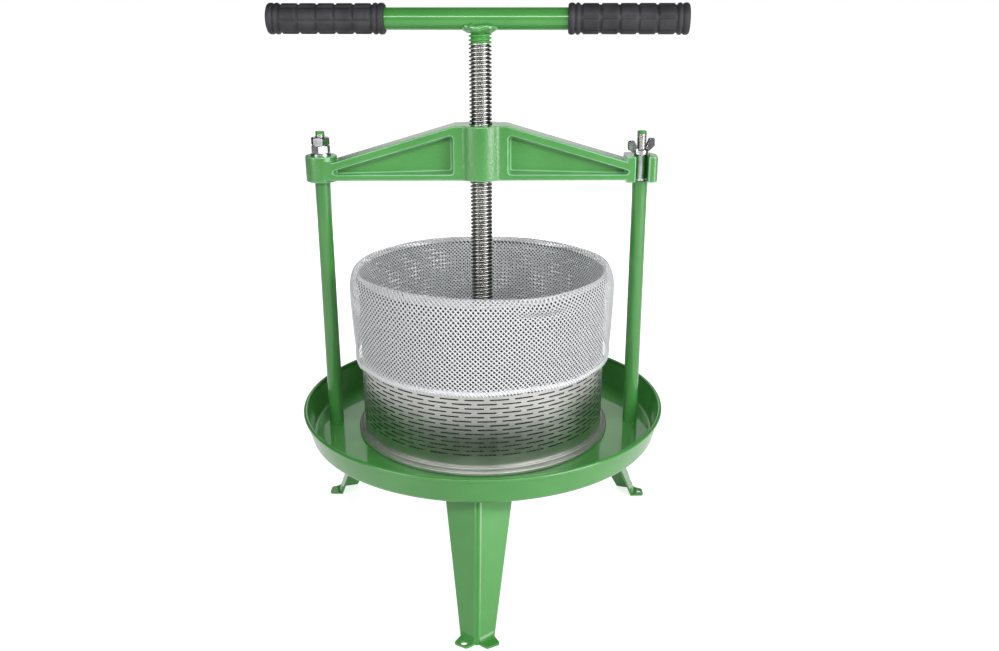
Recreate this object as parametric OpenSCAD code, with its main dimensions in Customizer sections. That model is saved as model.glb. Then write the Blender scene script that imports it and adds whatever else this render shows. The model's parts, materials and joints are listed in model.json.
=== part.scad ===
/* [Tray] */
// Flat floor left between the posts and the bend of the wall
tray_margin = 11.6; // [8:0.2:30]
// Height of the rim above the tray floor
tray_h = 28.5; // [22:0.5:45]
// Thickness of the tray sheet
tray_t = 2; // [1.5:0.25:3]
// Inside bend radius between floor and wall
tray_bend_r = 4; // [2:0.5:8]
// Flare of the tray wall from upright, in degrees
tray_flare = 15; // [5:1:25]
// Width of the rolled rim
rim_w = 4.4; // [4:0.2:8]

/* [Juice outlet] */
// Outer diameter of the outlet pipe
outlet_d = 18; // [14:1:22]
// Wall of the outlet pipe
outlet_wall = 2; // [1.5:0.5:3]
// Reach of the outlet pipe past the tray rim
outlet_reach = 30; // [15:1:50]
// Thickness of the collar that joins the pipe to the tray
outlet_collar = 2; // [1:0.5:4]
// Height of the outlet's bore above the tray floor
outlet_lift = 1; // [0.5:0.25:3]

/* [Legs] */
// Height of the tray's underside above the ground
leg_h = 142; // [100:1:200]
// Thickness of the leg plate
leg_t = 2.5; // [2:0.25:4]
// How far the leg's ridge lies in from the edge of the tray's flat floor
leg_inset = 24; // [20:1:40]
// Lean of the ridge from upright, in degrees
leg_lean = 21.8; // [10:0.2:24]
// Angle between each web of the leg and the radial plane, in degrees
leg_fold = 48; // [40:1:60]
// Width of one web at the ground
web_w_foot = 22.6; // [18:0.2:30]
// Width of one web under the tray
web_w_top = 49.5; // [40:0.5:60]
// Turn of the leg set about the press axis, in degrees
leg_turn = -1; // [-5:0.5:5]

/* [Feet] */
// Reach of each foot flange from its web
foot_reach = 12.8; // [12:0.2:18]
// How far the outer corner of the flange lies in from the web's edge
foot_taper = 3.6; // [1:0.2:6]
// Width of the gap between each flange and the ridge
foot_gap = 3.4; // [2.5:0.2:5]
// How far the flange stops short of the web's edge
foot_short = 0.6; // [0.4:0.1:2]
// Corner radius of the foot flange
foot_corner_r = 2.4; // [1:0.2:3]
// Diameter of the bolt hole in each foot
foot_hole_d = 7; // [4:0.5:8]
// Distance of the bolt hole from the web
foot_hole_out = 6.4; // [6:0.2:7]
// Distance of the bolt hole from the ridge, along the web
foot_hole_along = 11.3; // [10:0.1:13]

/* [Posts] */
// Gap between the basket's base ring and each post
post_gap = 19.6; // [12:0.2:30]
// Diameter of the posts
post_d = 16; // [14:1:20]
// Height of the post shoulder above the tray floor
post_h = 275; // [240:1:340]
// Diameter of the turned shank and its thread
stud_d = 10; // [8:1:12]
// Height of the stud's tip above the end bosses of the beam
stud_rise = 24.5; // [22:0.5:40]

/* [Nuts and washers] */
// Width across flats of the nuts
nut_flats = 17; // [16:0.5:19]
// Height of a nut
nut_h = 8.4; // [6:0.2:10]
// Diameter of the washers
washer_d = 21; // [20:0.5:24]
// Thickness of a washer
washer_t = 2; // [1:0.25:3]
// How far the wing nut's base laps each prong of the fork
wing_lap = 0.5; // [0.5:0.25:2]
// Slack under the wing nut, which frees the beam to swing
wing_slack = 0.3; // [0.2:0.05:0.5]
// Height of the wing nut's base
wing_base_h = 5.5; // [4:0.5:8]
// Reach of each wing past the base
wing_reach = 11.5; // [9:0.5:15]
// Height of the wing nut over its wings
wing_h = 15.5; // [12:0.5:20]
// Thickness of a wing
wing_t = 3; // [2:0.5:4]
// Turn of the wing nut on its stud, in degrees
wing_turn = 38; // [0:1:180]

/* [Cross beam] */
// Depth of the beam, front to back
beam_depth = 32; // [28:1:40]
// Height of the end bosses
end_boss_h = 27; // [22:1:34]
// Wall of the end bosses round the studs
end_wall = 11.4; // [9:0.2:15]
// How far the end bosses hang below the beam
end_boss_drop = 2.5; // [0:0.5:4]
// Height of the beam at its middle
beam_mid_h = 56; // [48:1:70]
// Height of the beam where it meets the end bosses
beam_end_h = 19; // [17:0.5:22]
// Width of the flat top on each side of the central boss
flat_w = 3; // [2:0.5:8]
// Wall of the central boss round the screw
boss_wall = 12.5; // [9:0.5:16]
// Fillet between the central boss and the beam's faces
boss_fillet_r = 8; // [3:0.5:10]
// Thickness of the lower flange
low_flange = 6.5; // [5:0.5:9]
// Thickness of the upper flange
high_flange = 8.6; // [6:0.2:11]
// Thickness of the web between the pockets
beam_web = 8; // [6:1:14]
// Corner radius of the pockets
pocket_r = 3; // [1.5:0.5:4]
// Draft of the pocket walls over their depth
pocket_draft = 1.8; // [0.5:0.1:2.5]
// Gap between the central boss and the pockets
pocket_gap = 4.5; // [3:0.5:10]
// Outer end of the pockets, from the post axis
pocket_out = 14; // [12:0.5:20]
// Play between the fork's slot and the stud
fork_play = 3; // [2:0.1:4]
// Width of the outer prong beside the slot
prong_w = 9.6; // [7:0.2:10]

/* [Screw and handle] */
// Outer diameter of the screw thread
screw_d = 23; // [20:1:26]
// Height of the handle bar's axis above the top of the beam
bar_rise = 104; // [70:1:130]
// Diameter of the handle bar
bar_d = 22; // [18:1:26]
// Wall of the handle bar
bar_wall = 2; // [1.5:0.5:3]
// Length of the handle over both grips
handle_l = 421; // [360:1:480]
// How far the bar is welded off centre
handle_shift = 3.6; // [0:0.2:6]
// Turn of the handle from the line of the posts, in degrees
handle_turn = -3.5; // [-10:0.5:10]
// Length of a grip
grip_l = 119; // [100:1:130]
// Thickness of the grip over the bar
grip_wall = 4.5; // [3.5:0.25:7]
// Depth of the grip's grooves
grip_groove = 1.2; // [0.6:0.1:1.6]
// Number of rows of blocks on a grip
grip_rows = 5; // [3:1:7]
// Number of blocks round a grip
grip_blocks = 8; // [6:1:12]
// Width of the weld round the screw's top
weld_w = 4; // [3:0.5:6]
// Height of the weld below the bar
weld_h = 3.5; // [2:0.5:4]

/* [Swivel foot] */
// Wall of the swivel foot round the screw's pivot
foot_wall = 8; // [6:0.5:10]
// Height of the swivel foot
foot_pad_h = 14; // [12:0.5:18]
// Diameter of the screw's pivot in the swivel foot
pivot_d = 14; // [12:0.5:16]
// Floor of the swivel foot under the pivot
foot_floor = 4; // [3:0.5:6]
// Diameter of the pins that hold the swivel foot
pin_d = 3; // [2.5:0.1:3.5]
// Depth of the pivot's groove, where the pins run
groove_depth = 2.2; // [1.5:0.1:3]
// Travel of the screw down to the pressing plate's disc
screw_travel = 89; // [70:1:100]
// Gap left under the swivel foot at the end of that travel
travel_end = 1; // [0.5:0.5:4]

/* [Basket] */
// Outer diameter of the slotted sheet
basket_d = 265.4; // [250:0.2:275]
// Height of the basket over its rings
basket_h = 176; // [150:1:200]
// Thickness of the slotted sheet
basket_t = 1.2; // [0.8:0.1:2]
// Reach of the base ring past the sheet
base_ring_w = 6.2; // [5:0.2:8]
// Height of the base ring
base_ring_h = 8.4; // [7:0.2:12]
// Reach of the upper step of the base ring
base_step_w = 3.6; // [2.5:0.2:4.5]
// Height of the lower step of the base ring
base_step_h = 4.3; // [3:0.1:5]
// Reach of the top bead past the sheet
top_bead_w = 3; // [2:0.2:4]
// Length of a slot
slot_l = 20; // [12:0.5:24]
// Height of a slot
slot_h = 1.5; // [1:0.1:2.5]
// Number of slots round the basket
slots_round = 33; // [20:1:36]
// Rise from one row of slots to the next
slot_rise = 9.26; // [8:0.02:14]
// Height of the lowest row of slots
slot_low = 20.9; // [14:0.1:40]
// Plain band left over the slots
slot_clear = 5; // [4:0.5:12]

/* [Filter bag] */
// Thickness of the net
net_t = 1.2; // [0.8:0.1:2]
// Depth of the fold that hangs outside the basket
fold_drop = 96; // [60:1:120]
// Rise of the fold above the basket
fold_rise = 8; // [6:0.5:12]
// How far the net stands off the sheet just below the rim
fold_bulge = 9.6; // [7:0.2:12]
// How far the net stands off the sheet at the hem
hem_off = 5.6; // [4:0.2:8]

/* [Pressing plate] */
// Gap between the pressing plate and the net all round
plate_gap = 6; // [2:0.5:12]
// Thickness of the pressing plate
plate_t = 4; // [3:0.5:6]
// Diameter of the stiffening disc welded on the plate
disc_d = 90; // [60:1:120]
// Thickness of the stiffening disc
disc_t = 5; // [3:0.5:8]

/* [Fits] */
// Radial clearance of shafts, threads and nuts
run_fit = 0.05; // [0.02:0.01:0.1]
// Gap between the net and what it touches
soft_gap = 0.3; // [0.2:0.05:0.5]

/* [Hidden] */

$fn = 96;
cut = 0.5;

floor_z = leg_h + tray_t;
basket_r = basket_d / 2;
post_x = basket_r + base_ring_w + post_gap + post_d / 2;
shoulder_z = floor_z + post_h;
boss_top_z = shoulder_z + end_boss_h;
stud_top_z = boss_top_z + stud_rise;
beam_z = shoulder_z + end_boss_drop;
beam_top_z = beam_z + beam_mid_h;
bar_z = beam_top_z + bar_rise;
bar_r = bar_d / 2;
screw_r = screw_d / 2;
stud_r = stud_d / 2;
slot_w = stud_d + fork_play;

green = [0.29, 0.60, 0.28];
steel = [0.72, 0.72, 0.71];
zinc = [0.82, 0.83, 0.84];
rubber = [0.13, 0.13, 0.14];

// Points along an arc, from angle a to angle b
function arc(c, r, a, b, n = 8) =
    [for (i = [0:n]) c + r * [cos(a + (b - a) * i / n), sin(a + (b - a) * i / n)]];

function unit(v) = v / norm(v);

// The shorter way round from angle a to angle b
function sweep(a, b) = let (d = (b - a + 540) % 360 - 180) d;

// The arc that rounds corner q, between its neighbours p and s
function corner(p, q, s, r, n) =
    let (
        a = unit(p - q),
        b = unit(s - q),
        half = acos(a * b) / 2,
        c = q + unit(a + b) * r / sin(half),
        start = q + a * r / tan(half) - c,
        stop = q + b * r / tan(half) - c,
        from = atan2(start.y, start.x),
        turn = sweep(from, atan2(stop.y, stop.x))
    )
    arc(c, r, from, from + turn, n);

// A closed outline with every corner rounded, by one radius or a list of them
function rounded(points, r, n = 5) =
    let (m = len(points))
    [for (i = [0:m - 1])
        each corner(points[(i + m - 1) % m], points[i], points[(i + 1) % m],
            is_list(r) ? r[i] : r, n)];

// Tray: one pressed sheet with a flared wall and a rolled rim
rim_r = rim_w / 2;
bend_c_z = floor_z + tray_bend_r;
wall_mid_r = tray_bend_r + tray_t / 2;
rim_z = floor_z + tray_h - rim_r;
wall_rise = rim_z - bend_c_z + wall_mid_r * sin(tray_flare);
tray_floor_r = post_x + post_d / 2 + tray_margin;
bend_c = [tray_floor_r, bend_c_z];
rim_c = [tray_floor_r + wall_mid_r * cos(tray_flare) + wall_rise * tan(tray_flare), rim_z];
wall_dir = [sin(tray_flare), cos(tray_flare)];
wall_out = [cos(tray_flare), -sin(tray_flare)];
rim_bite = sqrt(rim_r * rim_r - tray_t * tray_t / 4);
rim_half = asin(tray_t / 2 / rim_r);

module tray_profile() {
    polygon(concat(
        [[0, leg_h], [tray_floor_r, leg_h]],
        arc(bend_c, tray_bend_r + tray_t, -90, -tray_flare, 6),
        [rim_c + wall_out * tray_t / 2 - wall_dir * rim_bite],
        arc(rim_c, rim_r, -90 - tray_flare + rim_half, 270 - tray_flare - rim_half, 20),
        [rim_c - wall_out * tray_t / 2 - wall_dir * rim_bite],
        arc(bend_c, tray_bend_r, -tray_flare, -90, 6),
        [[0, floor_z]]
    ));
}

outlet_r = outlet_d / 2;
outlet_bore_r = outlet_r - outlet_wall;
outlet_z = floor_z + outlet_lift + outlet_bore_r;
collar_end_y = rim_c.x + rim_r + outlet_collar;
outlet_end_y = rim_c.x + rim_r + outlet_reach;

module tray() {
    color(green)
        difference() {
            rotate_extrude() tray_profile();
            for (side = [-1, 1])
                translate([side * post_x, 0, leg_h - cut])
                    cylinder(h = tray_t + 2 * cut, r = stud_r + run_fit);
            translate([0, tray_floor_r - tray_bend_r, outlet_z])
                rotate([-90, 0, 0])
                    cylinder(h = outlet_end_y, r = outlet_bore_r);
        }
}

// Outlet: a collar cut to the flare of the wall, and the pipe that a hose fits
module juice_outlet() {
    color(green)
        difference() {
            translate([0, tray_floor_r, outlet_z])
                rotate([-90, 0, 0]) {
                    cylinder(h = collar_end_y - tray_floor_r, r = outlet_r + outlet_collar / 2);
                    cylinder(h = outlet_end_y - tray_floor_r, r = outlet_r);
                }
            translate([0, tray_floor_r - tray_bend_r, outlet_z])
                rotate([-90, 0, 0])
                    cylinder(h = outlet_end_y, r = outlet_bore_r);
            rotate_extrude()
                polygon([
                    [0, 0],
                    [tray_floor_r, 0],
                    each arc(bend_c, tray_bend_r + tray_t, -90, -tray_flare, 6),
                    rim_c + wall_out * tray_t / 2,
                    [0, rim_z],
                ]);
        }
}

// Legs: a tapered plate folded to a ridge, with two flanges bent out as the foot
lean_slope = tan(leg_lean);
leg_ridge_r = tray_floor_r - leg_inset + lean_slope * leg_h;
web_tilt = atan(lean_slope * sin(leg_fold));
web_shift = lean_slope * cos(leg_fold);
web_scale = 1 / cos(web_tilt);
web_over = 10;

// One web, lying in the plane of the ridge and of the level line across the web
function web_edge(z) = web_w_foot + (web_w_top - web_w_foot) * z / leg_h;

module leg_web() {
    rotate([0, 0, 180 - leg_fold])
        rotate([90 - web_tilt, 0, 0])
            translate([0, 0, -leg_t])
                linear_extrude(leg_t)
                    polygon([for (p = [[0, -web_over], [1, -web_over], [1, leg_h + web_over],
                            [0, leg_h + web_over]])
                        [p[0] * web_edge(p[1]) + web_shift * p[1], web_scale * p[1]]]);
}

foot_near = foot_gap + 1.6;
foot_end = web_w_foot - foot_short;

module foot_flange(drilled) {
    rotate([0, 0, 180 - leg_fold])
        mirror([0, 1, 0])
            difference() {
                linear_extrude(leg_t)
                    polygon(rounded([
                        [foot_gap, -leg_t],
                        [foot_end, -leg_t],
                        [foot_end, 0.6],
                        [web_w_foot - foot_taper, foot_reach],
                        [foot_near, foot_reach * 0.76],
                        [foot_gap, leg_t],
                    ], [0.1, 0.1, 0.3, foot_corner_r, foot_corner_r, 0.8], 4));
                if (drilled)
                    translate([foot_hole_along, foot_hole_out, -cut])
                        cylinder(h = leg_t + 2 * cut, d = foot_hole_d);
            }
}

module leg(angle) {
    color(green)
        rotate([0, 0, angle + leg_turn])
            translate([leg_ridge_r, 0, 0])
                union() {
                    intersection() {
                        union() {
                            leg_web();
                            mirror([0, 1, 0]) leg_web();
                        }
                        translate([-leg_ridge_r, -web_w_top, 0])
                            cube([2 * leg_ridge_r, 2 * web_w_top, leg_h]);
                    }
                    foot_flange(false);
                    mirror([0, 1, 0]) foot_flange(true);
                }
}

module leg_front() { leg(-90); }
module leg_rear_left() { leg(150); }
module leg_rear_right() { leg(30); }

// Posts: a round bar with a turned stud at each end
post_tail = tray_t + washer_t + nut_h + 3;

module post() {
    color(green) {
        translate([0, 0, floor_z]) cylinder(h = post_h, d = post_d);
        translate([0, 0, floor_z - post_tail]) cylinder(h = post_tail + cut, r = stud_r);
        translate([0, 0, shoulder_z - cut]) cylinder(h = stud_top_z - shoulder_z + cut - 0.8, r = stud_r);
        translate([0, 0, stud_top_z - 0.8]) cylinder(h = 0.8, r1 = stud_r, r2 = stud_r - 0.8);
    }
}

module post_left() { translate([-post_x, 0, 0]) post(); }
module post_right() { translate([post_x, 0, 0]) post(); }

module washer(z) {
    color(zinc)
        translate([0, 0, z])
            difference() {
                cylinder(h = washer_t, d = washer_d);
                translate([0, 0, -cut]) cylinder(h = washer_t + 2 * cut, r = stud_r + run_fit);
            }
}

// A hexagon nut with its corners turned off at 30 degrees
nut_corner_r = nut_flats / 2 / cos(30);
nut_chamfer = (nut_corner_r - nut_flats / 2) * tan(30) + 0.3;

module nut(z, turn) {
    color(zinc)
        translate([0, 0, z])
            difference() {
                intersection() {
                    rotate([0, 0, turn]) cylinder(h = nut_h, r = nut_corner_r, $fn = 6);
                    rotate_extrude()
                        polygon([
                            [0, 0],
                            [nut_flats / 2 - 0.5, 0],
                            [nut_corner_r + 0.1, nut_chamfer],
                            [nut_corner_r + 0.1, nut_h - nut_chamfer],
                            [nut_flats / 2 - 0.5, nut_h],
                            [0, nut_h],
                        ]);
                }
                translate([0, 0, -cut]) cylinder(h = nut_h + 2 * cut, r = stud_r + run_fit);
            }
}

pivot_nut_z = boss_top_z + washer_t;

module post_foot_washers() {
    for (side = [-1, 1])
        translate([side * post_x, 0, 0]) washer(leg_h - washer_t);
}

module post_foot_nuts() {
    for (side = [-1, 1])
        translate([side * post_x, 0, 0]) nut(leg_h - washer_t - nut_h, 15 * side);
}

module pivot_washer() { translate([-post_x, 0, 0]) washer(boss_top_z); }
module pivot_nut() { translate([-post_x, 0, 0]) nut(pivot_nut_z, 8); }
module pivot_locknut() { translate([-post_x, 0, 0]) nut(pivot_nut_z + nut_h, 44); }

// Wing nut: a round base with two raised wings
wing_base_d = slot_w + 2 * wing_lap;
wing_root = stud_r + 0.8;
wing_tip = wing_base_d / 2 + wing_reach;

module wing_profile() {
    polygon(rounded([
        [wing_root, 0.8],
        [wing_base_d / 2 + 0.6, 0.8],
        [wing_tip, wing_h - 9],
        [wing_tip, wing_h],
        [wing_tip - 6.5, wing_h],
        [wing_root, wing_base_h - 0.4],
    ], [0.2, 1, 3, 3.2, 3.2, 0.2], 5));
}

module wing_nut() {
    color(zinc)
        translate([post_x, 0, boss_top_z + wing_slack])
            rotate([0, 0, wing_turn])
                difference() {
                    union() {
                        cylinder(h = wing_base_h - 1.2, d = wing_base_d);
                        translate([0, 0, wing_base_h - 1.2])
                            cylinder(h = 1.2, d1 = wing_base_d, d2 = wing_base_d - 2.4);
                        for (side = [0, 180])
                            rotate([0, 0, side])
                                rotate([90, 0, 0])
                                    translate([0, 0, -wing_t / 2])
                                        linear_extrude(wing_t) wing_profile();
                    }
                    translate([0, 0, -cut])
                        cylinder(h = wing_h + 2 * cut, r = stud_r + run_fit);
                }
}

// Cross beam: a casting with pockets on both faces, a threaded boss in the middle, a pivot boss
// at the left and a fork at the right that is open to the front
half_depth = beam_depth / 2;
mid_boss_r = screw_r + boss_wall;
end_boss_r = stud_r + end_wall;
beam_flat = mid_boss_r + flat_w;
pocket_in = mid_boss_r + pocket_gap;
beam_end_x = post_x - end_boss_r + 2;
flat_z = beam_top_z;
end_z = beam_z + beam_end_h;
top_slope = (flat_z - end_z) / (beam_end_x - beam_flat);
pocket_x1 = post_x - pocket_out;
pocket_low = beam_z + low_flange;

function top_z(x) = flat_z - top_slope * (x - beam_flat);
function pocket_top(x) = top_z(x) - high_flange * sqrt(1 + top_slope * top_slope);

module beam_outline() {
    polygon(rounded([
        [-post_x, beam_z],
        [post_x - slot_w, beam_z],
        [post_x - slot_w, end_z],
        [beam_end_x, end_z],
        [beam_flat, flat_z],
        [-beam_flat, flat_z],
        [-beam_end_x, end_z],
        [-post_x, end_z],
    ], [1, 1, 1, 6, 20, 20, 6, 1], 6));
}

function pocket_points(grow) =
    let (low = pocket_low - grow, high = -grow * sqrt(1 + top_slope * top_slope))
    [
        [pocket_in - grow, low],
        [pocket_x1 + grow, low],
        [pocket_x1 + grow, pocket_top(pocket_x1) - high + 2 * top_slope * grow],
        [pocket_in - grow, pocket_top(pocket_in) - high],
    ];

// A pocket with draft, from the beam's face down to its web
module pocket() {
    depth = half_depth - beam_web / 2;
    rotate([90, 0, 0])
        hull() {
            translate([0, 0, half_depth - depth])
                linear_extrude(0.1) polygon(rounded(pocket_points(-pocket_draft), pocket_r, 4));
            translate([0, 0, half_depth])
                linear_extrude(0.1) polygon(rounded(pocket_points(0), pocket_r, 4));
        }
}

// The fillet between the round boss and one face of the beam
module boss_fillet() {
    c_y = half_depth + boss_fillet_r;
    c_x = sqrt(pow(mid_boss_r + boss_fillet_r, 2) - c_y * c_y);
    touch = mid_boss_r / (mid_boss_r + boss_fillet_r);
    linear_extrude(beam_mid_h)
        difference() {
            polygon([
                [c_x * touch - 3, half_depth - 3],
                [c_x, half_depth - 3],
                [c_x, c_y],
                [c_x * touch, c_y * touch],
            ]);
            translate([c_x, c_y]) circle(r = boss_fillet_r);
        }
}

prong_y = end_boss_r - prong_w / 2;

module fork_plan() {
    difference() {
        union() {
            circle(r = end_boss_r);
            translate([-end_boss_r, -half_depth]) square([end_boss_r, beam_depth]);
            translate([slot_w / 2, -prong_y]) square([prong_w, prong_y]);
            translate([slot_w / 2 + prong_w / 2, -prong_y]) circle(d = prong_w);
        }
        circle(d = slot_w);
        translate([-slot_w / 2, -2 * end_boss_r]) square([slot_w, 2 * end_boss_r]);
    }
}

module cross_beam() {
    color(green)
        difference() {
            union() {
                translate([0, half_depth, 0])
                    rotate([90, 0, 0])
                        linear_extrude(beam_depth) beam_outline();
                translate([0, 0, beam_z]) cylinder(h = beam_mid_h, r = mid_boss_r);
                for (sx = [0, 1], sy = [0, 1])
                    translate([0, 0, beam_z])
                        mirror([sx, 0, 0])
                            mirror([0, sy, 0])
                                boss_fillet();
                translate([-post_x, 0, shoulder_z]) cylinder(h = end_boss_h, r = end_boss_r);
                translate([post_x, 0, shoulder_z]) linear_extrude(end_boss_h) fork_plan();
            }
            for (sx = [0, 1], sy = [0, 1])
                mirror([sx, 0, 0]) mirror([0, sy, 0]) pocket();
            translate([0, 0, beam_z - cut])
                cylinder(h = beam_mid_h + 2 * cut, r = screw_r + run_fit);
            translate([-post_x, 0, shoulder_z - cut])
                cylinder(h = end_boss_h + 2 * cut, r = stud_r + run_fit);
        }
}

// Screw, swivel foot and handle
liner_r = basket_r - basket_t - soft_gap;
plate_r = liner_r - net_t - plate_gap;
plate_z = floor_z + soft_gap + net_t + soft_gap;
disc_top_z = plate_z + plate_t + disc_t;
pad_z = disc_top_z + screw_travel + travel_end;
foot_pad_d = pivot_d + 2 * foot_wall;
pad_top_z = pad_z + foot_pad_h;
pivot_r = pivot_d / 2;
pivot_l = foot_pad_h - foot_floor;
groove_w = pin_d + 0.2;
groove_z = pad_z + foot_pad_h / 2;
groove_r = pivot_r - groove_depth;
pin_x = groove_r + pin_d / 2 + 2 * run_fit;
pin_l = foot_pad_d - 6;

module bar_cylinder(r) {
    translate([0, 0, bar_z])
        rotate([0, 0, handle_turn])
            rotate([0, 90, 0])
                cylinder(h = handle_l, r = r, center = true);
}

module press_screw() {
    color(steel)
        difference() {
            union() {
                translate([0, 0, pad_top_z]) cylinder(h = bar_z - pad_top_z, r = screw_r);
                translate([0, 0, pad_top_z - pivot_l]) cylinder(h = pivot_l + cut, r = pivot_r);
            }
            bar_cylinder(bar_r + run_fit);
            translate([0, 0, groove_z - groove_w / 2])
                difference() {
                    cylinder(h = groove_w, r = pivot_r + cut);
                    cylinder(h = groove_w, r = groove_r);
                }
        }
}

weld_r = screw_r + weld_w;

module handle_weld() {
    weld_z = bar_z - bar_r - weld_h;
    color(green)
        difference() {
            rotate_extrude()
                polygon([
                    [screw_r + run_fit, weld_z],
                    [screw_r + 1.2, weld_z],
                    [weld_r - 1, weld_z + weld_h * 0.7],
                    [weld_r, weld_z + weld_h + 2],
                    [screw_r + 1.2, weld_z + weld_h + 6],
                    [screw_r + run_fit, weld_z + weld_h + 6],
                ]);
            bar_cylinder(bar_r + run_fit);
        }
}

grip_end = 3;
bar_l = handle_l - 2 * grip_end;

// The line of the handle: X along the bar, from the press axis
module along_bar() {
    translate([0, 0, bar_z])
        rotate([0, 0, handle_turn])
            translate([-handle_shift, 0, 0])
                rotate([0, 90, 0])
                    children();
}

module handle_bar() {
    color(green)
        along_bar()
            difference() {
                translate([0, 0, -bar_l / 2]) cylinder(h = bar_l, r = bar_r);
                translate([0, 0, -bar_l / 2 - cut]) cylinder(h = bar_l + 2 * cut, r = bar_r - bar_wall);
            }
}

// Grip: two rings at each end and rows of blocks between them
grip_r = bar_r + grip_wall;
ring_l = 6;
band_l = 4 * ring_l;
row_l = (grip_l - band_l) / grip_rows;
groove_l = 1.8;

module grip() {
    root_r = grip_r - grip_groove;
    grooves = [
        ring_l,
        for (i = [0:grip_rows]) 2 * ring_l + i * row_l,
        grip_l - ring_l,
    ];
    color(rubber)
        difference() {
            rotate_extrude()
                polygon(concat(
                    [[0, 0], [grip_r - 2, 0], [grip_r - 0.6, 0.6], [grip_r, 2]],
                    [for (g = grooves) each [
                        [grip_r, g - groove_l / 2],
                        [root_r, g - groove_l / 2 + 0.4],
                        [root_r, g + groove_l / 2 - 0.4],
                        [grip_r, g + groove_l / 2],
                    ]],
                    [[grip_r, grip_l - 1.2], [grip_r - 1.2, grip_l], [0, grip_l]]
                ));
            translate([0, 0, grip_end]) cylinder(h = grip_l, r = bar_r + run_fit);
            for (i = [0:grip_blocks - 1])
                rotate([0, 0, (i + 0.5) * 360 / grip_blocks])
                    translate([root_r, -groove_l / 2, 2 * ring_l])
                        cube([2 * grip_groove, groove_l, grip_l - band_l]);
        }
}

module grip_left() {
    along_bar() translate([0, 0, -handle_l / 2]) grip();
}

module grip_right() {
    along_bar() translate([0, 0, handle_l / 2]) mirror([0, 0, 1]) rotate([0, 0, 20]) grip();
}

module swivel_foot() {
    color(steel)
        difference() {
            translate([0, 0, pad_z])
                rotate_extrude()
                    polygon(concat(
                        [[0, 0], [foot_pad_d / 2 - 1.5, 0], [foot_pad_d / 2, 1.5]],
                        [[foot_pad_d / 2, foot_pad_h - 3], [foot_pad_d / 2 - 2.5, foot_pad_h]],
                        [[0, foot_pad_h]]
                    ));
            translate([0, 0, pad_top_z - pivot_l - soft_gap])
                cylinder(h = pivot_l + soft_gap + cut, r = pivot_r + run_fit);
            for (side = [-1, 1])
                translate([side * pin_x, 0, groove_z])
                    rotate([90, 0, 0])
                        cylinder(h = pin_l + 2 * run_fit, r = pin_d / 2 + run_fit, center = true);
        }
}

module foot_pins() {
    color(steel)
        for (side = [-1, 1])
            translate([side * pin_x, 0, groove_z])
                rotate([90, 0, 0])
                    cylinder(h = pin_l, d = pin_d, center = true);
}

// Pressing plate: a loose disc on the bag's floor, stiffened where the swivel foot presses
module press_plate() {
    color(steel)
        translate([0, 0, plate_z])
            rotate_extrude()
                polygon([
                    [0, 0],
                    [plate_r - 1, 0],
                    [plate_r, 1],
                    [plate_r, plate_t - 1],
                    [plate_r - 1, plate_t],
                    [0, plate_t],
                ]);
}

module plate_disc() {
    color(steel)
        translate([0, 0, plate_z + plate_t])
            rotate_extrude()
                polygon([
                    [0, 0],
                    [disc_d / 2, 0],
                    [disc_d / 2 - disc_t + 1, disc_t],
                    [0, disc_t],
                ]);
}

// Basket: a slotted sheet between a stepped base ring and a top bead
basket_top_z = floor_z + basket_h;
slot_pairs = floor((basket_h - slot_low - slot_clear) / (2 * slot_rise));
comb_in = basket_r - 2 * basket_t;
comb_root = basket_r + 1;
comb_back = basket_r + 3;

// A comb whose teeth cut every second slot of one column, with its back outside the sheet
module slot_comb() {
    step = 2 * slot_rise;
    polygon([
        [comb_back, -slot_h / 2],
        [comb_back, slot_h / 2 + (slot_pairs - 1) * step],
        for (k = [slot_pairs - 1:-1:0]) each [
            [comb_in, slot_h / 2 + k * step],
            [comb_in, -slot_h / 2 + k * step],
            if (k > 0) [comb_root, -slot_h / 2 + k * step],
            if (k > 0) [comb_root, slot_h / 2 + (k - 1) * step],
        ],
    ]);
}

module basket_shell() {
    color(steel)
        translate([0, 0, floor_z])
            difference() {
                cylinder(h = basket_h, r = basket_r);
                translate([0, 0, -cut]) cylinder(h = basket_h + 2 * cut, r = basket_r - basket_t);
                for (column = [0:slots_round - 1], row = [0, 1])
                    rotate([0, 0, (column + row / 2) * 360 / slots_round])
                        translate([0, slot_l / 2, slot_low + row * slot_rise])
                            rotate([90, 0, 0])
                                linear_extrude(slot_l) slot_comb();
            }
}

module basket_base_ring() {
    in_r = basket_r + run_fit;
    color(steel)
        translate([0, 0, floor_z])
            rotate_extrude()
                polygon(concat(
                    [[in_r, 0]],
                    arc([basket_r + base_ring_w - 1.5, 1.5], 1.5, -90, 0, 4),
                    arc([basket_r + base_ring_w - 1.5, base_step_h - 1.5], 1.5, 0, 90, 4),
                    [[basket_r + base_step_w, base_step_h]],
                    arc([basket_r + base_step_w - 1.5, base_ring_h - 1.5], 1.5, 0, 90, 4),
                    [[in_r, base_ring_h]]
                ));
}

module basket_top_bead() {
    in_r = basket_r + run_fit;
    bead_h = 2 * top_bead_w;
    color(steel)
        translate([0, 0, basket_top_z - bead_h])
            rotate_extrude()
                polygon(concat(
                    [[in_r, 0]],
                    arc([basket_r + 0.4, top_bead_w], top_bead_w - 0.4, -80, 80, 8),
                    [[in_r, bead_h]]
                ));
}

// Filter bag: a net liner on the tray floor, folded over the rim to the outside
hem_z = basket_top_z + fold_rise - fold_drop;
fold_top_z = basket_top_z + fold_rise;
bulge_r = basket_r + fold_bulge;
hem_r = basket_r + hem_off;

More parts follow.
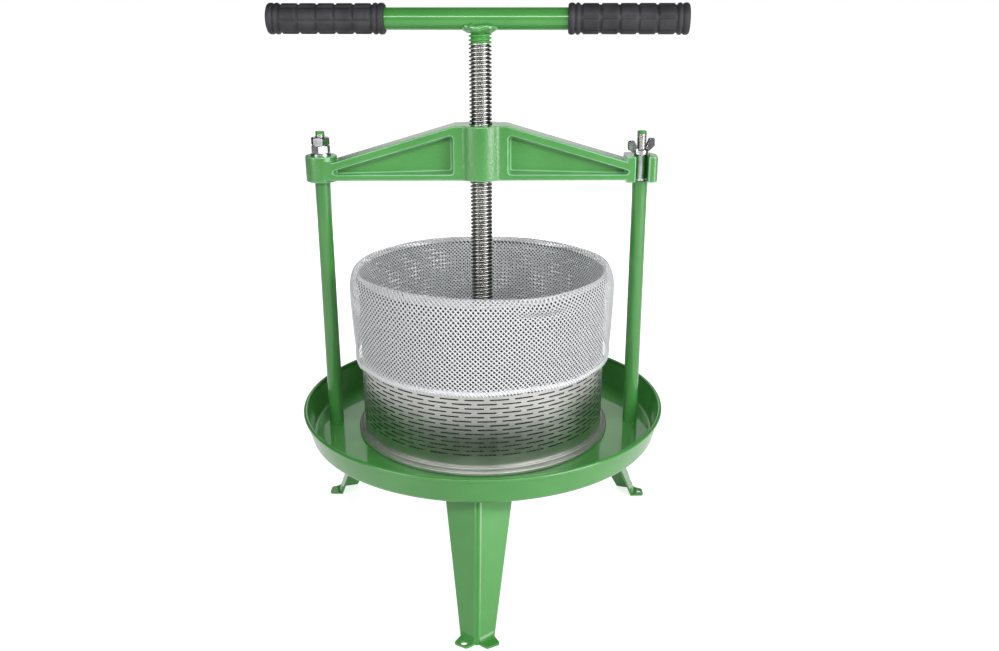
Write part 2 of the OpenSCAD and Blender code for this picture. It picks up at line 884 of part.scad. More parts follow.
// The outside of the fold, from the mouth over the rim to the hem; "in" moves it inwards
function fold_path(in) = [
    [liner_r - net_t + in, basket_top_z - 4],
    [liner_r - net_t + 0.4 + in, basket_top_z + 2],
    [liner_r + 1.6 + in * 0.6, fold_top_z - 1 - in * 0.8],
    [liner_r + 5 , fold_top_z - in],
    [bulge_r - 3 - in * 0.5, fold_top_z - 4 - in * 0.9],
    [bulge_r - 0.6 - in, fold_top_z - 11],
    [bulge_r - in, fold_top_z - 22],
    [bulge_r - 1.4 - in, fold_top_z - 46],
    [hem_r - in, hem_z],
];

module filter_bag() {
    outer = fold_path(0);
    inner = fold_path(net_t);
    m = len(outer);
    color([0.93, 0.93, 0.94])
        rotate_extrude()
            polygon(concat(
                [[0, floor_z + soft_gap + net_t], [liner_r - net_t, floor_z + soft_gap + net_t]],
                outer,
                [for (i = [m - 1:-1:0]) inner[i]],
                [[liner_r, floor_z + soft_gap], [0, floor_z + soft_gap]]
            ));
}

tray();
juice_outlet();
leg_front();
leg_rear_left();
leg_rear_right();
post_left();
post_right();
post_foot_washers();
post_foot_nuts();
pivot_washer();
pivot_nut();
pivot_locknut();
cross_beam();
wing_nut();
press_screw();
handle_weld();
handle_bar();
grip_left();
grip_right();
swivel_foot();
foot_pins();
press_plate();
plate_disc();
basket_shell();
basket_base_ring();
basket_top_bead();
filter_bag();
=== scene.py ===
# %% [markdown]
# # A bench fruit press
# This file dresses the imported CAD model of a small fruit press: a screw with a T-handle turns in a
# cast cross beam and presses fruit in a slotted steel basket lined with a net bag. The CAD gives
# every piece its size and place. Here each surface gets its finish, and the fine forms that a
# camera sees but a check doesn't need: threads, slots, the threads of the net, rounded edges.

# %% Load the frame
import json
import math

import bmesh
import bpy
import numpy as np
from mathutils import Matrix, Vector

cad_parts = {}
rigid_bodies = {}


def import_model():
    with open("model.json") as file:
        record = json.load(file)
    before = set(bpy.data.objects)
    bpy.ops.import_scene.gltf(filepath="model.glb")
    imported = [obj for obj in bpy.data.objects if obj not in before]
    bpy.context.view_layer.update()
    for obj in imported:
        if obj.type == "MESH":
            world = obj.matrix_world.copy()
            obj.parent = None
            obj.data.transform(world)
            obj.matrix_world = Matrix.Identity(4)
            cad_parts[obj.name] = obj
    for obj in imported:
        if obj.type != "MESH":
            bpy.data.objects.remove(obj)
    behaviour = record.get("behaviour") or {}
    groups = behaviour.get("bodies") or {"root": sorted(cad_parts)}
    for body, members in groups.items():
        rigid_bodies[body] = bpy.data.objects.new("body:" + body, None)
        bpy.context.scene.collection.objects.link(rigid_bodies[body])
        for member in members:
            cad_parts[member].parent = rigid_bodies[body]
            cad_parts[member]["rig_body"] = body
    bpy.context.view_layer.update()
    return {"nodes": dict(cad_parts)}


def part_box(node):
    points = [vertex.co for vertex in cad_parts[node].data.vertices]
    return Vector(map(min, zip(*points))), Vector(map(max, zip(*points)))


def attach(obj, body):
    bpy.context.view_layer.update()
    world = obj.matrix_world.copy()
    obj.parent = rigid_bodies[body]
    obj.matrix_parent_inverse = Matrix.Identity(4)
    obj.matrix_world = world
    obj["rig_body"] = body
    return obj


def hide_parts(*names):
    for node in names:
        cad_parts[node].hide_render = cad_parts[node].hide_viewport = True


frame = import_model()
nodes = frame["nodes"]
scene = bpy.context.scene
mm = 0.001
body_of = {name: node["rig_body"] for name, node in nodes.items()}

# %% [markdown]
# ## The camera
# The camera stands where the photographer's stood. Its place and tilt were worked out from edges
# whose real size is known, such as the posts, the tray and the three feet. A plain list of its
# three directions is easier to check than a set of angles.

# %% Camera
forward = Vector((-0.00090678, 0.94462821, -0.32814132))
right = Vector((0.99999743, 0.00017531, -0.00225870))
up = Vector((0.00207611, 0.32814253, 0.94462594))
stand = (0.01983, -1.05394, 0.62374)
focal_pixels, image_wide = 1012.5, 999.0
camera = bpy.data.objects.new("camera", bpy.data.cameras.new("camera"))
scene.collection.objects.link(camera)
camera.data.sensor_width = 36.0
camera.data.lens = 36.0 * focal_pixels / image_wide
camera.data.clip_start = 0.05
camera.data.clip_end = 50.0
turn = Matrix((right, up, -forward)).transposed().to_4x4()
camera.matrix_world = Matrix.Translation(stand) @ turn
scene.camera = camera
scene.view_settings.view_transform = "Standard"
print("camera", [round(v, 4) for v in camera.location], "lens", round(camera.data.lens, 2))

# %% [markdown]
# ## Node trees as formulas
# Blender's shapes and finishes are both drawn as trees of nodes. A tree written out socket by
# socket is long and hard to read, so a small helper lets Python's own signs add the Math nodes:
# `a * b + 1` puts a Multiply and an Add node in the tree, and `a < b` a Less Than node, whose
# result is 0 or 1. The same helper serves geometry and shading.

# %% Formula helper
def math_node(operation):
    """A method of Field that adds one Math node."""
    return lambda field, *others: field.tree.math(operation, field, *others)


class Field:
    """A number inside a node tree; Python's signs on it add Math nodes."""

    def __init__(self, tree, socket):
        self.tree = tree
        self.socket = socket

    __add__ = __radd__ = math_node("ADD")
    __mul__ = __rmul__ = math_node("MULTIPLY")
    __sub__ = math_node("SUBTRACT")
    __truediv__ = math_node("DIVIDE")
    __mod__ = math_node("FLOORED_MODULO")
    __lt__ = math_node("LESS_THAN")
    __gt__ = math_node("GREATER_THAN")
    __abs__ = math_node("ABSOLUTE")
    at_least = math_node("MAXIMUM")
    at_most = math_node("MINIMUM")
    floor = math_node("FLOOR")
    root = math_node("SQRT")
    sin = math_node("SINE")
    cos = math_node("COSINE")

    def __rsub__(self, other):
        return self.tree.math("SUBTRACT", other, self)

    def __rtruediv__(self, other):
        return self.tree.math("DIVIDE", other, self)

    def clamp(self, low=0.0, high=1.0):
        return self.at_least(low).at_most(high)


# %% Node tree helper
class Tree:
    """Adds nodes to a node tree and links them."""

    def __init__(self, group):
        self.group = group

    def add(self, kind, inputs=None, **settings):
        node = self.group.nodes.new(kind)
        for name, value in settings.items():
            setattr(node, name, value)
        for name, value in (inputs or {}).items():
            self.plug(value, node.inputs[name])
        return node

    def out(self, kind, inputs=None, **settings):
        """The first output of a new node."""
        return self.add(kind, inputs, **settings).outputs[0]

    def plug(self, value, socket):
        if isinstance(value, Field):
            value = value.socket
        if isinstance(value, bpy.types.NodeSocket):
            self.group.links.new(value, socket)
        else:
            socket.default_value = value

    def math(self, operation, *values):
        inputs = dict(enumerate(values))
        return Field(self, self.out("ShaderNodeMath", inputs, operation=operation))

    def split(self, vector):
        node = self.add("ShaderNodeSeparateXYZ", {0: vector})
        return [Field(self, output) for output in node.outputs]

    def join(self, x, y, z):
        return self.out("ShaderNodeCombineXYZ", {0: x, 1: y, 2: z})


# %% [markdown]
# ## Geometry trees
# A geometry tree takes its sizes through named inputs, so the same tree makes the big press
# screw and the small stud threads. A modifier finds its inputs by the socket's identifier. The
# evaluated result is then copied to a plain mesh, because that is what other programs can read.

# %% Geometry helper
class ShapeTree(Tree):
    """A Geometry Nodes tree with named number inputs that ends in one mesh."""

    def __init__(self, name, *sizes, counts=()):
        super().__init__(bpy.data.node_groups.new(name, "GeometryNodeTree"))
        kinds = {"Geometry": "Geometry", **dict.fromkeys(sizes, "Float")}
        kinds.update({**dict.fromkeys(counts, "Int"), "Finish": "Material"})
        face = self.group.interface
        for label, kind in kinds.items():
            face.new_socket(label, in_out="INPUT", socket_type="NodeSocket" + kind)
        face.new_socket("Geometry", in_out="OUTPUT", socket_type="NodeSocketGeometry")
        self.inputs = self.group.nodes.new("NodeGroupInput").outputs
        self.outputs = self.group.nodes.new("NodeGroupOutput").inputs
        self.sizes = [Field(self, self.inputs[label]) for label in (*sizes, *counts)]

    def shape(self, kind, inputs=None, **settings):
        """The first output of a new geometry node."""
        return self.out("GeometryNode" + kind, inputs, **settings)

    def position(self):
        return self.split(self.shape("InputPosition"))

    def index(self):
        return Field(self, self.shape("InputIndex"))

    def place(self, geometry, position):
        return self.shape("SetPosition", {"Geometry": geometry, "Position": position})

    def turned(self, vector, angle):
        """The vector, turned round the upright axis."""
        inputs = {"Vector": vector, "Angle": angle}
        return self.out("ShaderNodeVectorRotate", inputs, rotation_type="Z_AXIS")

    def merged(self, geometry):
        """The shape with its seams and poles closed."""
        return self.shape("MergeByDistance", {"Geometry": geometry, "Distance": 5e-6})

    def joined(self, parts):
        both = self.add("GeometryNodeJoinGeometry")
        for part in parts:
            self.plug(part, both.inputs[0])
        return both.outputs[0]

    def finish(self, geometry):
        real = self.shape("RealizeInstances", {"Geometry": geometry})
        smooth = self.shape("SetShadeSmooth", {"Geometry": real, "Shade Smooth": True})
        inputs = {"Geometry": smooth, "Material": self.inputs["Finish"]}
        self.plug(self.shape("SetMaterial", inputs), self.outputs[0])


# %% From a tree or a bmesh to a piece
def new_piece(name, mesh):
    """Puts a mesh in the scene as a piece of the press."""
    mesh.name = name
    piece = bpy.data.objects.new(name, mesh)
    scene.collection.objects.link(piece)
    return piece


def applied(host):
    """What an object's modifiers make of it, as a plain mesh; the object goes."""
    bpy.context.view_layer.update()
    evaluated = host.evaluated_get(bpy.context.evaluated_depsgraph_get())
    mesh = bpy.data.meshes.new_from_object(evaluated)
    bpy.data.objects.remove(host)
    return mesh


def grow(name, tree, material, base=None, thickness=0.0, **sizes):
    """Runs a geometry tree with the given sizes and returns its result as a plain piece."""
    host = new_piece(name + "_host", base or bpy.data.meshes.new(name))
    modifier = host.modifiers.new("shape", "NODES")
    modifier.node_group = tree.group
    wanted = {label.replace("_", " "): value for label, value in sizes.items()}
    wanted["finish"] = material
    for item in tree.group.interface.items_tree:
        if item.in_out == "INPUT" and item.name.lower() in wanted:
            modifier[item.identifier] = wanted[item.name.lower()]
    if thickness:
        wall = host.modifiers.new("wall", "SOLIDIFY")
        wall.thickness = thickness
        wall.offset = -1.0
        wall.use_even_offset = False
    mesh = applied(host)
    print(name, "has", sum(len(p.vertices) - 2 for p in mesh.polygons), "triangles")
    return new_piece(name, mesh)


def made(work, name, outward=True):
    """The mesh of a bmesh, with its faces turned outwards."""
    if outward:
        bmesh.ops.recalc_face_normals(work, faces=work.faces)
    mesh = bpy.data.meshes.new(name)
    work.to_mesh(mesh)
    work.free()
    return mesh


def fit(piece, *replaced, slot, body=None):
    """Makes a piece ride with the body of the nodes that it stands for."""
    if replaced:
        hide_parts(*replaced)
    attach(piece, body or body_of[replaced[0]])
    return piece


# %% [markdown]
# # Finishes
# Each finish is one small shader tree in Object coordinates, so its grain keeps its real size in
# metres and stays put when a piece moves. The constant numbers sit on the shader's own sockets.

# %% Finish helper
class Finish(Tree):
    """A material with one Principled shader and a few layers of procedural detail."""

    def __init__(self, name, color, **sockets):
        self.material = bpy.data.materials.new(name)
        self.material.use_nodes = True
        super().__init__(self.material.node_tree)
        self.shader = self.group.nodes["Principled BSDF"].inputs
        self.shader["Base Color"].default_value = (*color, 1)
        for label, value in sockets.items():
            self.shader[label.replace("_", " ")].default_value = value
        self.place = self.add("ShaderNodeTexCoord").outputs["Object"]

    def stretch(self, x, y, z):
        """Object coordinates, scaled along each axis."""
        return self.out("ShaderNodeMapping", {"Vector": self.place, "Scale": (x, y, z)})

    def noise(self, scale, detail=2.0, vector=None):
        inputs = {"Vector": vector or self.place, "Scale": scale, "Detail": detail}
        return Field(self, self.out("ShaderNodeTexNoise", inputs))

    def between(self, value, low, high):
        """Runs from 0 to 1 as the value goes from low to high."""
        inputs = {"Value": value, "From Min": low, "From Max": high}
        return Field(self, self.out("ShaderNodeMapRange", inputs))

    def mix(self, share, first, second):
        node = self.add("ShaderNodeMix", {"Factor": share}, data_type="RGBA")
        for value, label in ((first, 6), (second, 7)):
            self.plug((*value, 1) if isinstance(value, tuple) else value, node.inputs[label])
        return node.outputs[2]

    def set(self, label, value):
        self.plug(value, self.shader[label])

    def bump(self, *layers):
        """Each layer is a height field and its depth in metres."""
        normal = None
        for height, depth in layers:
            inputs = {"Height": height, "Distance": depth, "Strength": 1.0}
            if normal:
                inputs["Normal"] = normal
            normal = self.out("ShaderNodeBump", inputs)
        self.set("Normal", normal)
        self.set("Coat Normal", normal)


# %% [markdown]
# ## Green enamel
# The press is sprayed with a glossy green enamel. On sheet and bar the film lies smooth, with a
# faint orange-peel swell. On the casting it follows the grain of the sand mould, which breaks
# every highlight into specks, and there the coat shines most. The casting's rounded edges get a
# paler green, a painted highlight, and the bars a darker green, a painted shade. All are one
# function with a different depth of grain and tone.

# %% Green paint
GREEN = (0.083, 0.365, 0.075)
GREEN_DEEP = (0.062, 0.300, 0.054)
# The bars' green is the sheet's green times this factor: a painted shade.
bar_shade_factor = 0.84


def green_paint(name, grain, peel, base=GREEN, deep=GREEN_DEEP, gloss=1.5):
    """Enamel from its two tones and the depth in mm of the sand grain and the swell under it."""
    paint = Finish(name, base, Roughness=0.3, Specular_IOR_Level=0.35, Coat_Weight=0.8,
                   Coat_Roughness=0.03, Coat_IOR=gloss)
    tone = paint.between(paint.noise(14.0, 4.0), 0.3, 0.7)
    paint.set("Base Color", paint.mix(tone, deep, base))
    paint.set("Roughness", paint.noise(90.0, 3.0) * 0.16 + 0.24)
    sand = paint.noise(800.0) * 0.6 + paint.noise(460.0)
    paint.bump((paint.noise(260.0), peel * mm), (sand, grain * mm))
    return paint.material


sheet_paint = green_paint("green_enamel_on_sheet", grain=0.001, peel=0.01)
cast_paint = green_paint("green_enamel_on_casting", grain=0.3, peel=0.02, gloss=1.68)
# A paler green for the casting's bevel faces: a painted highlight along its edges.
painted_edge_highlight = green_paint("green_enamel_thin_on_edges", grain=0.16, peel=0.02,
                         base=(0.31, 0.67, 0.37), deep=(0.14, 0.46, 0.15))
shaded_post_paint = green_paint("green_enamel_on_bars", grain=0.001, peel=0.01,
                         base=tuple(bar_shade_factor * c for c in GREEN),
                         deep=tuple(bar_shade_factor * c for c in GREEN_DEEP))
print("paints:", sheet_paint.name, cast_paint.name, painted_edge_highlight.name, shaded_post_paint.name)

# %% [markdown]
# ## Bare metals
# Zinc plate is bright and slightly cloudy. Rolled stainless sheet carries fine lines round the
# basket, because the sheet was rolled that way. Inside the basket and under the hanging bag the
# steel carries a painted shade: `bag_shade` is a dark tone that stands in for the shade of the bag
# and the deep basket there. The screw is turned bar: its crests are bright and its roots darker.

# %% Metals
def zinc_plate():
    zinc = Finish("bright_zinc", (0.72, 0.73, 0.75), Metallic=1.0)
    cloud = zinc.noise(130.0, 3.0)
    dull, bright = (0.60, 0.61, 0.64), (0.82, 0.83, 0.85)
    zinc.set("Base Color", zinc.mix(zinc.between(cloud, 0.35, 0.7), dull, bright))
    zinc.set("Roughness", cloud * 0.16 + 0.1)
    zinc.bump((zinc.noise(600.0), 0.003 * mm))
    return zinc.material


def stainless_sheet(name, tone, shine, bag_shade=None):
    """Steel of one tone and roughness, with a painted shade on its inner face and above the hem."""
    sheet = Finish(name, (tone, tone, tone), Metallic=1.0)
    lines = sheet.noise(1.0, 3.0, sheet.stretch(18.0, 18.0, 2600.0))
    cloud = sheet.noise(24.0, 4.0)
    low = (tone * 0.8, tone * 0.79, tone * 0.77)
    high = (tone * 1.12, tone * 1.11, tone * 1.08)
    steel = sheet.mix(sheet.between(lines * 0.6 + cloud * 0.4, 0.35, 0.65), low, high)
    if bag_shade:
        x, y, z = sheet.split(sheet.place)
        inner = sheet.between((x * x + y * y).root(), 0.1325, 0.1318)
        # Painted shade: the inner face and the steel above the hem take the dark bag_shade tone.
        painted_shade = inner.at_least(sheet.between(z, 0.233, 0.239))
        steel = sheet.mix(painted_shade, steel, (bag_shade, bag_shade, bag_shade * 1.04))
    sheet.set("Base Color", steel)
    sheet.set("Roughness", lines * 0.1 + cloud * 0.12 + shine)
    sheet.bump((lines, 0.02 * mm), (sheet.noise(5.0), 0.5 * mm))
    return sheet.material


zinc = zinc_plate()
# bag_shade is the tone of the painted shade inside the basket and under the cuff.
basket_steel = stainless_sheet("rolled_stainless", 0.6, 0.26, bag_shade=0.08)
ring_steel = stainless_sheet("pressed_stainless_ring", 0.68, 0.4)
plate_steel = stainless_sheet("turned_stainless", 0.48, 0.2)
print("metals:", zinc.name, basket_steel.name, ring_steel.name, plate_steel.name)

# %% Screw steel with paint at its top
def screw_finish(name, top, paint_depth, radius, axis_x=0.0):
    """Bright turned steel, darker in the thread's roots, with enamel over the top of it."""
    bar = Finish(name, (0.5, 0.5, 0.49), Metallic=1.0)
    x, y, z = bar.split(bar.place)
    east = x - axis_x
    out = (east * east + y * y).root()
    crest = bar.between(out, radius - 2.0 * mm, radius - 0.2 * mm)
    # The thread's roots are darker than its crests.
    root_tone, bright = (0.16, 0.155, 0.15), (0.62, 0.615, 0.6)
    steel = bar.mix(crest * 0.8 + bar.noise(120.0, 3.0) * 0.3, root_tone, bright)
    edge = bar.noise(320.0, 3.0) * (3.0 * mm)
    painted = bar.between(z + edge, top - paint_depth, top - paint_depth + 0.4 * mm)
    bar.set("Base Color", bar.mix(painted, steel, GREEN))
    bar.set("Roughness", bar.noise(500.0) * 0.05 + 0.2)
    bar.set("Metallic", 1.0 - painted)
    bar.bump((bar.noise(1.0, 2.0, bar.stretch(40.0, 40.0, 900.0)), 0.0003 * mm))
    return bar.material


# %% [markdown]
# ## Rubber and net
# The grips are moulded soft rubber: nearly black, dull, with a dry bloom on the high faces. The
# net's threads are flat white polyester. Low in the basket they turn grey, a painted shade for the
# deep inside of the bag, so the net's holes and the basket's slots look dark from outside.

# %% Soft finishes
def grip_rubber():
    rubber = Finish("moulded_rubber", (0.026, 0.025, 0.029), Roughness=0.6)
    bloom = rubber.between(rubber.noise(70.0, 5.0), 0.35, 0.7)
    dark, dusty = (0.021, 0.020, 0.024), (0.040, 0.038, 0.045)
    rubber.set("Base Color", rubber.mix(bloom, dark, dusty))
    rubber.set("Roughness", rubber.noise(300.0, 3.0) * 0.2 + 0.5)
    rubber.bump((rubber.noise(1400.0), 0.04 * mm))
    return rubber.material


def net_thread(name, tone=(0.95, 0.95, 0.98), shaded_below=0.0):
    """White polyester, turned grey by a painted shade below the height shaded_below in metres."""
    thread = Finish(name, tone, Roughness=0.5, Sheen_Weight=0.1)
    slub = thread.between(thread.noise(700.0, 3.0), 0.3, 0.75)
    white = thread.mix(slub, tuple(0.93 * value for value in tone), tone)
    _, _, height = thread.split(thread.place)
    level = height + thread.noise(60.0) * (6.0 * mm)
    # Painted shade: below shaded_below the thread turns grey, for the shade deep in the basket.
    unshaded = thread.between(level, shaded_below, shaded_below + 10.0 * mm)
    thread.set("Base Color", thread.mix(unshaded, (0.16, 0.16, 0.17), white))
    thread.bump((thread.noise(3000.0), 0.03 * mm))
    return thread.material


rubber = grip_rubber()
thread = net_thread("white_polyester_thread", shaded_below=0.222)
tape = net_thread("white_hem_tape")
print("soft finishes:", rubber.name, thread.name, tape.name)

# %% [markdown]
# # Rounded copies of the CAD pieces
# No casting or stamping has a knife-sharp edge, and the thin bright line on a rounded edge tells
# the eye what the part is made of. Each rigid CAD node is copied, its loose triangles are merged
# to clean faces, and a narrow bevel goes round every sharp edge. The node itself stays untouched
# and hidden, and the copy rides in its place.

# %% Copies with rounded edges
bevel_from = math.radians(28.0)
smooth_to = math.radians(32.0)


def clean_copy(name):
    """A CAD node's mesh with merged points and flat faces in one piece each."""
    work = bmesh.new()
    work.from_mesh(nodes[name].data)
    bmesh.ops.remove_doubles(work, verts=work.verts, dist=2e-6)
    bmesh.ops.dissolve_limit(work, angle_limit=math.radians(0.3), verts=work.verts,
                             edges=work.edges)
    return made(work, name, outward=False)


def rounded(name, mesh, width, material, edge_material=None, clamp=True):
    """A piece from a mesh, with its edges rounded by the given width in mm."""
    mesh.shade_smooth()
    mesh.materials.clear()
    for finish in filter(None, (material, edge_material)):
        mesh.materials.append(finish)
    host = new_piece(name + "_host", mesh)
    if width:
        bevel = host.modifiers.new("edges", "BEVEL")
        bevel.width = width * mm
        bevel.segments = 2
        bevel.limit_method = "ANGLE"
        bevel.angle_limit = bevel_from
        bevel.use_clamp_overlap = clamp
        # The bevel faces can take their own material; on the casting it is a painted edge highlight.
        bevel.material = 1 if edge_material else -1
        weighted = host.modifiers.new("flat faces", "WEIGHTED_NORMAL")
        weighted.mode = "FACE_AREA"
        weighted.weight = 60
    mesh = applied(host)
    if not width:
        mesh.set_sharp_from_angle(angle=smooth_to)
    print(name, len(mesh.polygons), "faces")
    return new_piece(name + "_finished", mesh)


def rounded_copy(name, width, material, slot, turn=0.0, **settings):
    """A rounded piece that stands for one CAD node, turned in place by some degrees."""
    mesh = clean_copy(name)
    low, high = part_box(name)
    centre = Matrix.Translation((low + high) / 2)
    mesh.transform(centre @ Matrix.Rotation(math.radians(turn), 4, "Z") @ centre.inverted())
    return fit(rounded(name, mesh, width, material, **settings), name, slot=slot)


# %% The rounded pieces
rounded_copy("tray", 0.3, sheet_paint, "green_paint")
rounded_copy("juice_outlet", 0.5, sheet_paint, "green_paint")
# The casting's bevels get the painted edge highlight.
rounded_copy("cross_beam", 1.3, cast_paint, "green_casting", edge_material=painted_edge_highlight, clamp=False)
rounded_copy("handle_bar", 0.4, sheet_paint, "green_paint")
for nut, turn in (("pivot_nut", 16.0), ("pivot_locknut", 8.0), ("post_foot_nuts", 0.0)):
    rounded_copy(nut, 0.25, zinc, "zinc", turn=turn)
for washer in ("pivot_washer", "post_foot_washers"):
    rounded_copy(washer, 0.2, zinc, "zinc")
rounded_copy("wing_nut", 0.5, zinc, "zinc")
for turned in ("swivel_foot", "foot_pins", "press_plate", "plate_disc"):
    rounded_copy(turned, 0.2, plate_steel, "stainless")
rounded_copy("basket_base_ring", 0.0, ring_steel, "stainless")
# The top bead sits above the hem, so it takes the painted shade of this steel.
rounded_copy("basket_top_bead", 0.0, basket_steel, "stainless")

# %% [markdown]
# # Legs
# Each leg is one plate, bent along its middle to a ridge that leans outwards, with the foot of each
# web turned out to a flange for a bolt. A bent plate has no sharp ridge, and its round bend is what
# catches the long highlight. The plate's section is drawn at the ground and under the tray, and the
# faces run straight between the two. The flanges are cut from their outline, hole and all, and a
# hollow fillet stands for the tight bend that joins them to the webs. Sizes here are in mm.

# %% Leg plate
leg_height = 142.0
plate = 2.5
fold = math.radians(48.0)
lean = math.tan(math.radians(21.8))
web_foot, web_top = 22.6, 49.5
bend = 6.0


def leg_section(z, depth):
    """Points across the folded plate at one height, at a depth below its outer face."""
    tilt = math.atan(lean * math.sin(fold))
    sunk = depth / math.cos(tilt)
    width = web_foot + (web_top - web_foot) * z / leg_height
    centre = -bend / math.sin(fold)
    edge_x = -width * math.cos(fold) - sunk * math.sin(fold)
    edge_y = -width * math.sin(fold) + sunk * math.cos(fold)
    points = [(edge_x, edge_y)]
    open_half = math.pi / 2 - fold
    for turn in np.linspace(-open_half, open_half, 13):
        points.append((centre + (bend - sunk) * math.cos(turn), (bend - sunk) * math.sin(turn)))
    points.append((edge_x, -edge_y))
    return [(x - lean * z, y, z) for x, y in points]


def leg_web(work):
    """The folded plate, as a closed shell."""
    rings = []
    for z in np.linspace(0, leg_height, 9):
        ring = leg_section(z, 0) + leg_section(z, plate)[::-1]
        rings.append([work.verts.new(p) for p in ring])
    count = len(rings[0])
    for low, high in zip(rings, rings[1:]):
        for i in range(count):
            j = (i + 1) % count
            work.faces.new((low[i], low[j], high[j], high[i]))
    for ring in (rings[0], rings[-1]):
        for i in range(count // 2 - 1):
            work.faces.new((ring[i], ring[i + 1], ring[count - 2 - i], ring[count - 1 - i]))


# %% Leg flange
def on_web(u, out, z, hand):
    """A place given by its distance along the web's foot and out from it."""
    x = -u * math.cos(fold) + out * math.sin(fold)
    return (x, hand * (u * math.sin(fold) + out * math.cos(fold)), z)


def round_corners(points, radii, steps=5):
    """The outline with each corner turned into an arc of its own radius."""
    outline = []
    for i, (x, y) in enumerate(points):
        here = Vector((x, y))
        back = (Vector(points[i - 1]) - here).normalized()
        ahead = (Vector(points[(i + 1) % len(points)]) - here).normalized()
        reach_in = radii[i] / math.tan(back.angle(ahead) / 2)
        a, b = here + back * reach_in, here + ahead * reach_in
        for t in np.linspace(0, 1, steps):
            outline.append(a * (1 - t) ** 2 + here * 2 * t * (1 - t) + b * t * t)
    return outline


flange_corners = [(3.4, -2.5), (22.0, -2.5), (22.0, 0.6), (19.0, 12.8), (5.0, 9.7), (3.4, 2.5)]
flange_radii = [0.1, 0.1, 0.3, 2.6, 2.6, 0.8]
hole_u, hole_out, hole_radius = 11.3, 6.4, 3.5
fillet_from, fillet_to = 3.6, 21.4
fillet_rise, fillet_run = 4.0, 3.6


def leg_flange(work, hand, drilled):
    """The flange at the foot of one web, and the hollow bend that joins them."""
    loops = [round_corners(flange_corners, flange_radii)]
    if drilled:
        turns = np.linspace(0, 2 * math.pi, 28, endpoint=False)
        loops.append([(hole_u + hole_radius * math.cos(t), hole_out + hole_radius * math.sin(t))
                      for t in turns])
    edges = []
    for loop in loops:
        points = [work.verts.new(on_web(u, out, 0, hand)) for u, out in loop]
        edges += [work.edges.new((a, b)) for a, b in zip(points, points[1:] + points[:1])]
    face = bmesh.ops.triangle_fill(work, edges=edges, use_beauty=True)["geom"]
    raised = bmesh.ops.extrude_face_region(work, geom=face)["geom"]
    lifted = [g for g in raised if isinstance(g, bmesh.types.BMVert)]
    bmesh.ops.translate(work, verts=lifted, vec=(0, 0, plate))
    back, along = -lean * math.sin(fold), lean * math.cos(fold)
    rows = []
    for u in (fillet_from, fillet_to):
        row = []
        for t in np.linspace(0, 1, 7):
            z = plate + fillet_rise * (1 - t) ** 2
            out = back * z * (1 - t) + fillet_run * t * t
            row.append(work.verts.new(on_web(u + along * z * (1 - t), out, z, hand)))
        row.append(work.verts.new(on_web(u, -1.6, plate - 0.8, hand)))
        rows.append(row)
    near, far = rows
    for i in range(len(near)):
        j = (i + 1) % len(near)
        work.faces.new((near[i], near[j], far[j], far[i]))
    work.faces.new(near)
    work.faces.new(far)


# %% Legs
leg_turn = math.radians(-1.0)
ridge_out = 218.9
for name, angle in (("leg_front", -90), ("leg_rear_left", 150), ("leg_rear_right", 30)):
    work = bmesh.new()
    leg_web(work)
    leg_flange(work, 1, False)
    leg_flange(work, -1, True)
    bmesh.ops.translate(work, verts=work.verts, vec=(ridge_out, 0, 0))
    spin = Matrix.Rotation(math.radians(angle) + leg_turn, 3, "Z")
    bmesh.ops.rotate(work, verts=work.verts, cent=(0, 0, 0), matrix=spin)
    bmesh.ops.scale(work, verts=work.verts, vec=(mm, mm, mm))
    fit(rounded(name, made(work, name), 0.4, sheet_paint), name, slot="green_paint")

# %% [markdown]
# ## Grips
# Each grip is a moulded rubber sleeve: two round ribs at either end and five rows of blocks between
# them. A sheet of points is rolled round the bar, and one formula says how far each point stands
# from the bar's axis, from its place along the grip and its angle round it. The same formula works
# for any sleeve with ribs and blocks, so the tree takes all its sizes as inputs.

# %% Grip tree
def grip_tree():
    tree = ShapeTree("grip", "Length", "Radius", "Groove", "Bore", "Start", "Hand", "Bar height",
                     "Turn", "Block zone", "Block angle", counts=("Rows", "Blocks"))
    length, radius, groove, bore, start, hand, *others = tree.sizes
    bar_height, turn, zone, block_angle, rows, blocks = others
    steps, around, lid = 236, 84, 3
    sheet = tree.shape("MeshGrid", {"Size X": float(steps + 2 * lid), "Size Y": 2 * math.pi,
                                    "Vertices X": steps + 2 * lid + 1, "Vertices Y": around + 1})
    x, angle, _ = tree.position()
    place = (x + steps * 0.5) * length / float(steps)
    on_sleeve = (place / length).clamp() * length
    outer_lid = (x * -1.0 - steps * 0.5).clamp(0.0, float(lid)) / float(lid)
    inner_lid = (x - steps * 0.5).clamp(0.0, float(lid)) / float(lid)
    edge = (length - zone) * 0.5

    def ribs(centre, half):
        """A round rib near each end, 1 at its middle and 0 at both feet."""
        pair = []
        for middle in (edge * centre, length - edge * centre):
            off = abs(on_sleeve - middle) / (edge * half)
            pair.append((1.0 - off * off).at_least(0.0).root())
        return pair[0].at_least(pair[1])

    def cut(distance):
        """1 on the line of a groove, falling to 0 where the block's rounded edge ends."""
        fall = ((2.1 * mm - distance) / (1.3 * mm)).clamp()
        return fall * fall * (3.0 - fall * 2.0)

    def beside(value, step):
        """How far a value is from the nearest multiple of a step."""
        return abs((value + step * 0.5) % step - step * 0.5)

    grooves = cut(beside(on_sleeve - edge, zone / rows))
    grooves = grooves.at_least(cut(beside(angle - block_angle, 2 * math.pi / blocks) * radius))
    in_zone = abs(on_sleeve - length * 0.5) < zone * 0.5
    ends = ribs(0.27, 0.27).at_least(ribs(0.74, 0.2))
    relief = in_zone * (0.78 - grooves * 0.62) + (1.0 - in_zone) * ends
    out = radius - groove * (1.0 - relief)
    out = out * (1.0 - outer_lid) * (1.0 - inner_lid) + bore * inner_lid

    reach = (start - on_sleeve) * hand
    point = tree.join(reach, out * angle.cos() * hand, out * angle.sin() + bar_height)
    tree.finish(tree.merged(tree.place(sheet, tree.turned(point, turn))))
    return tree


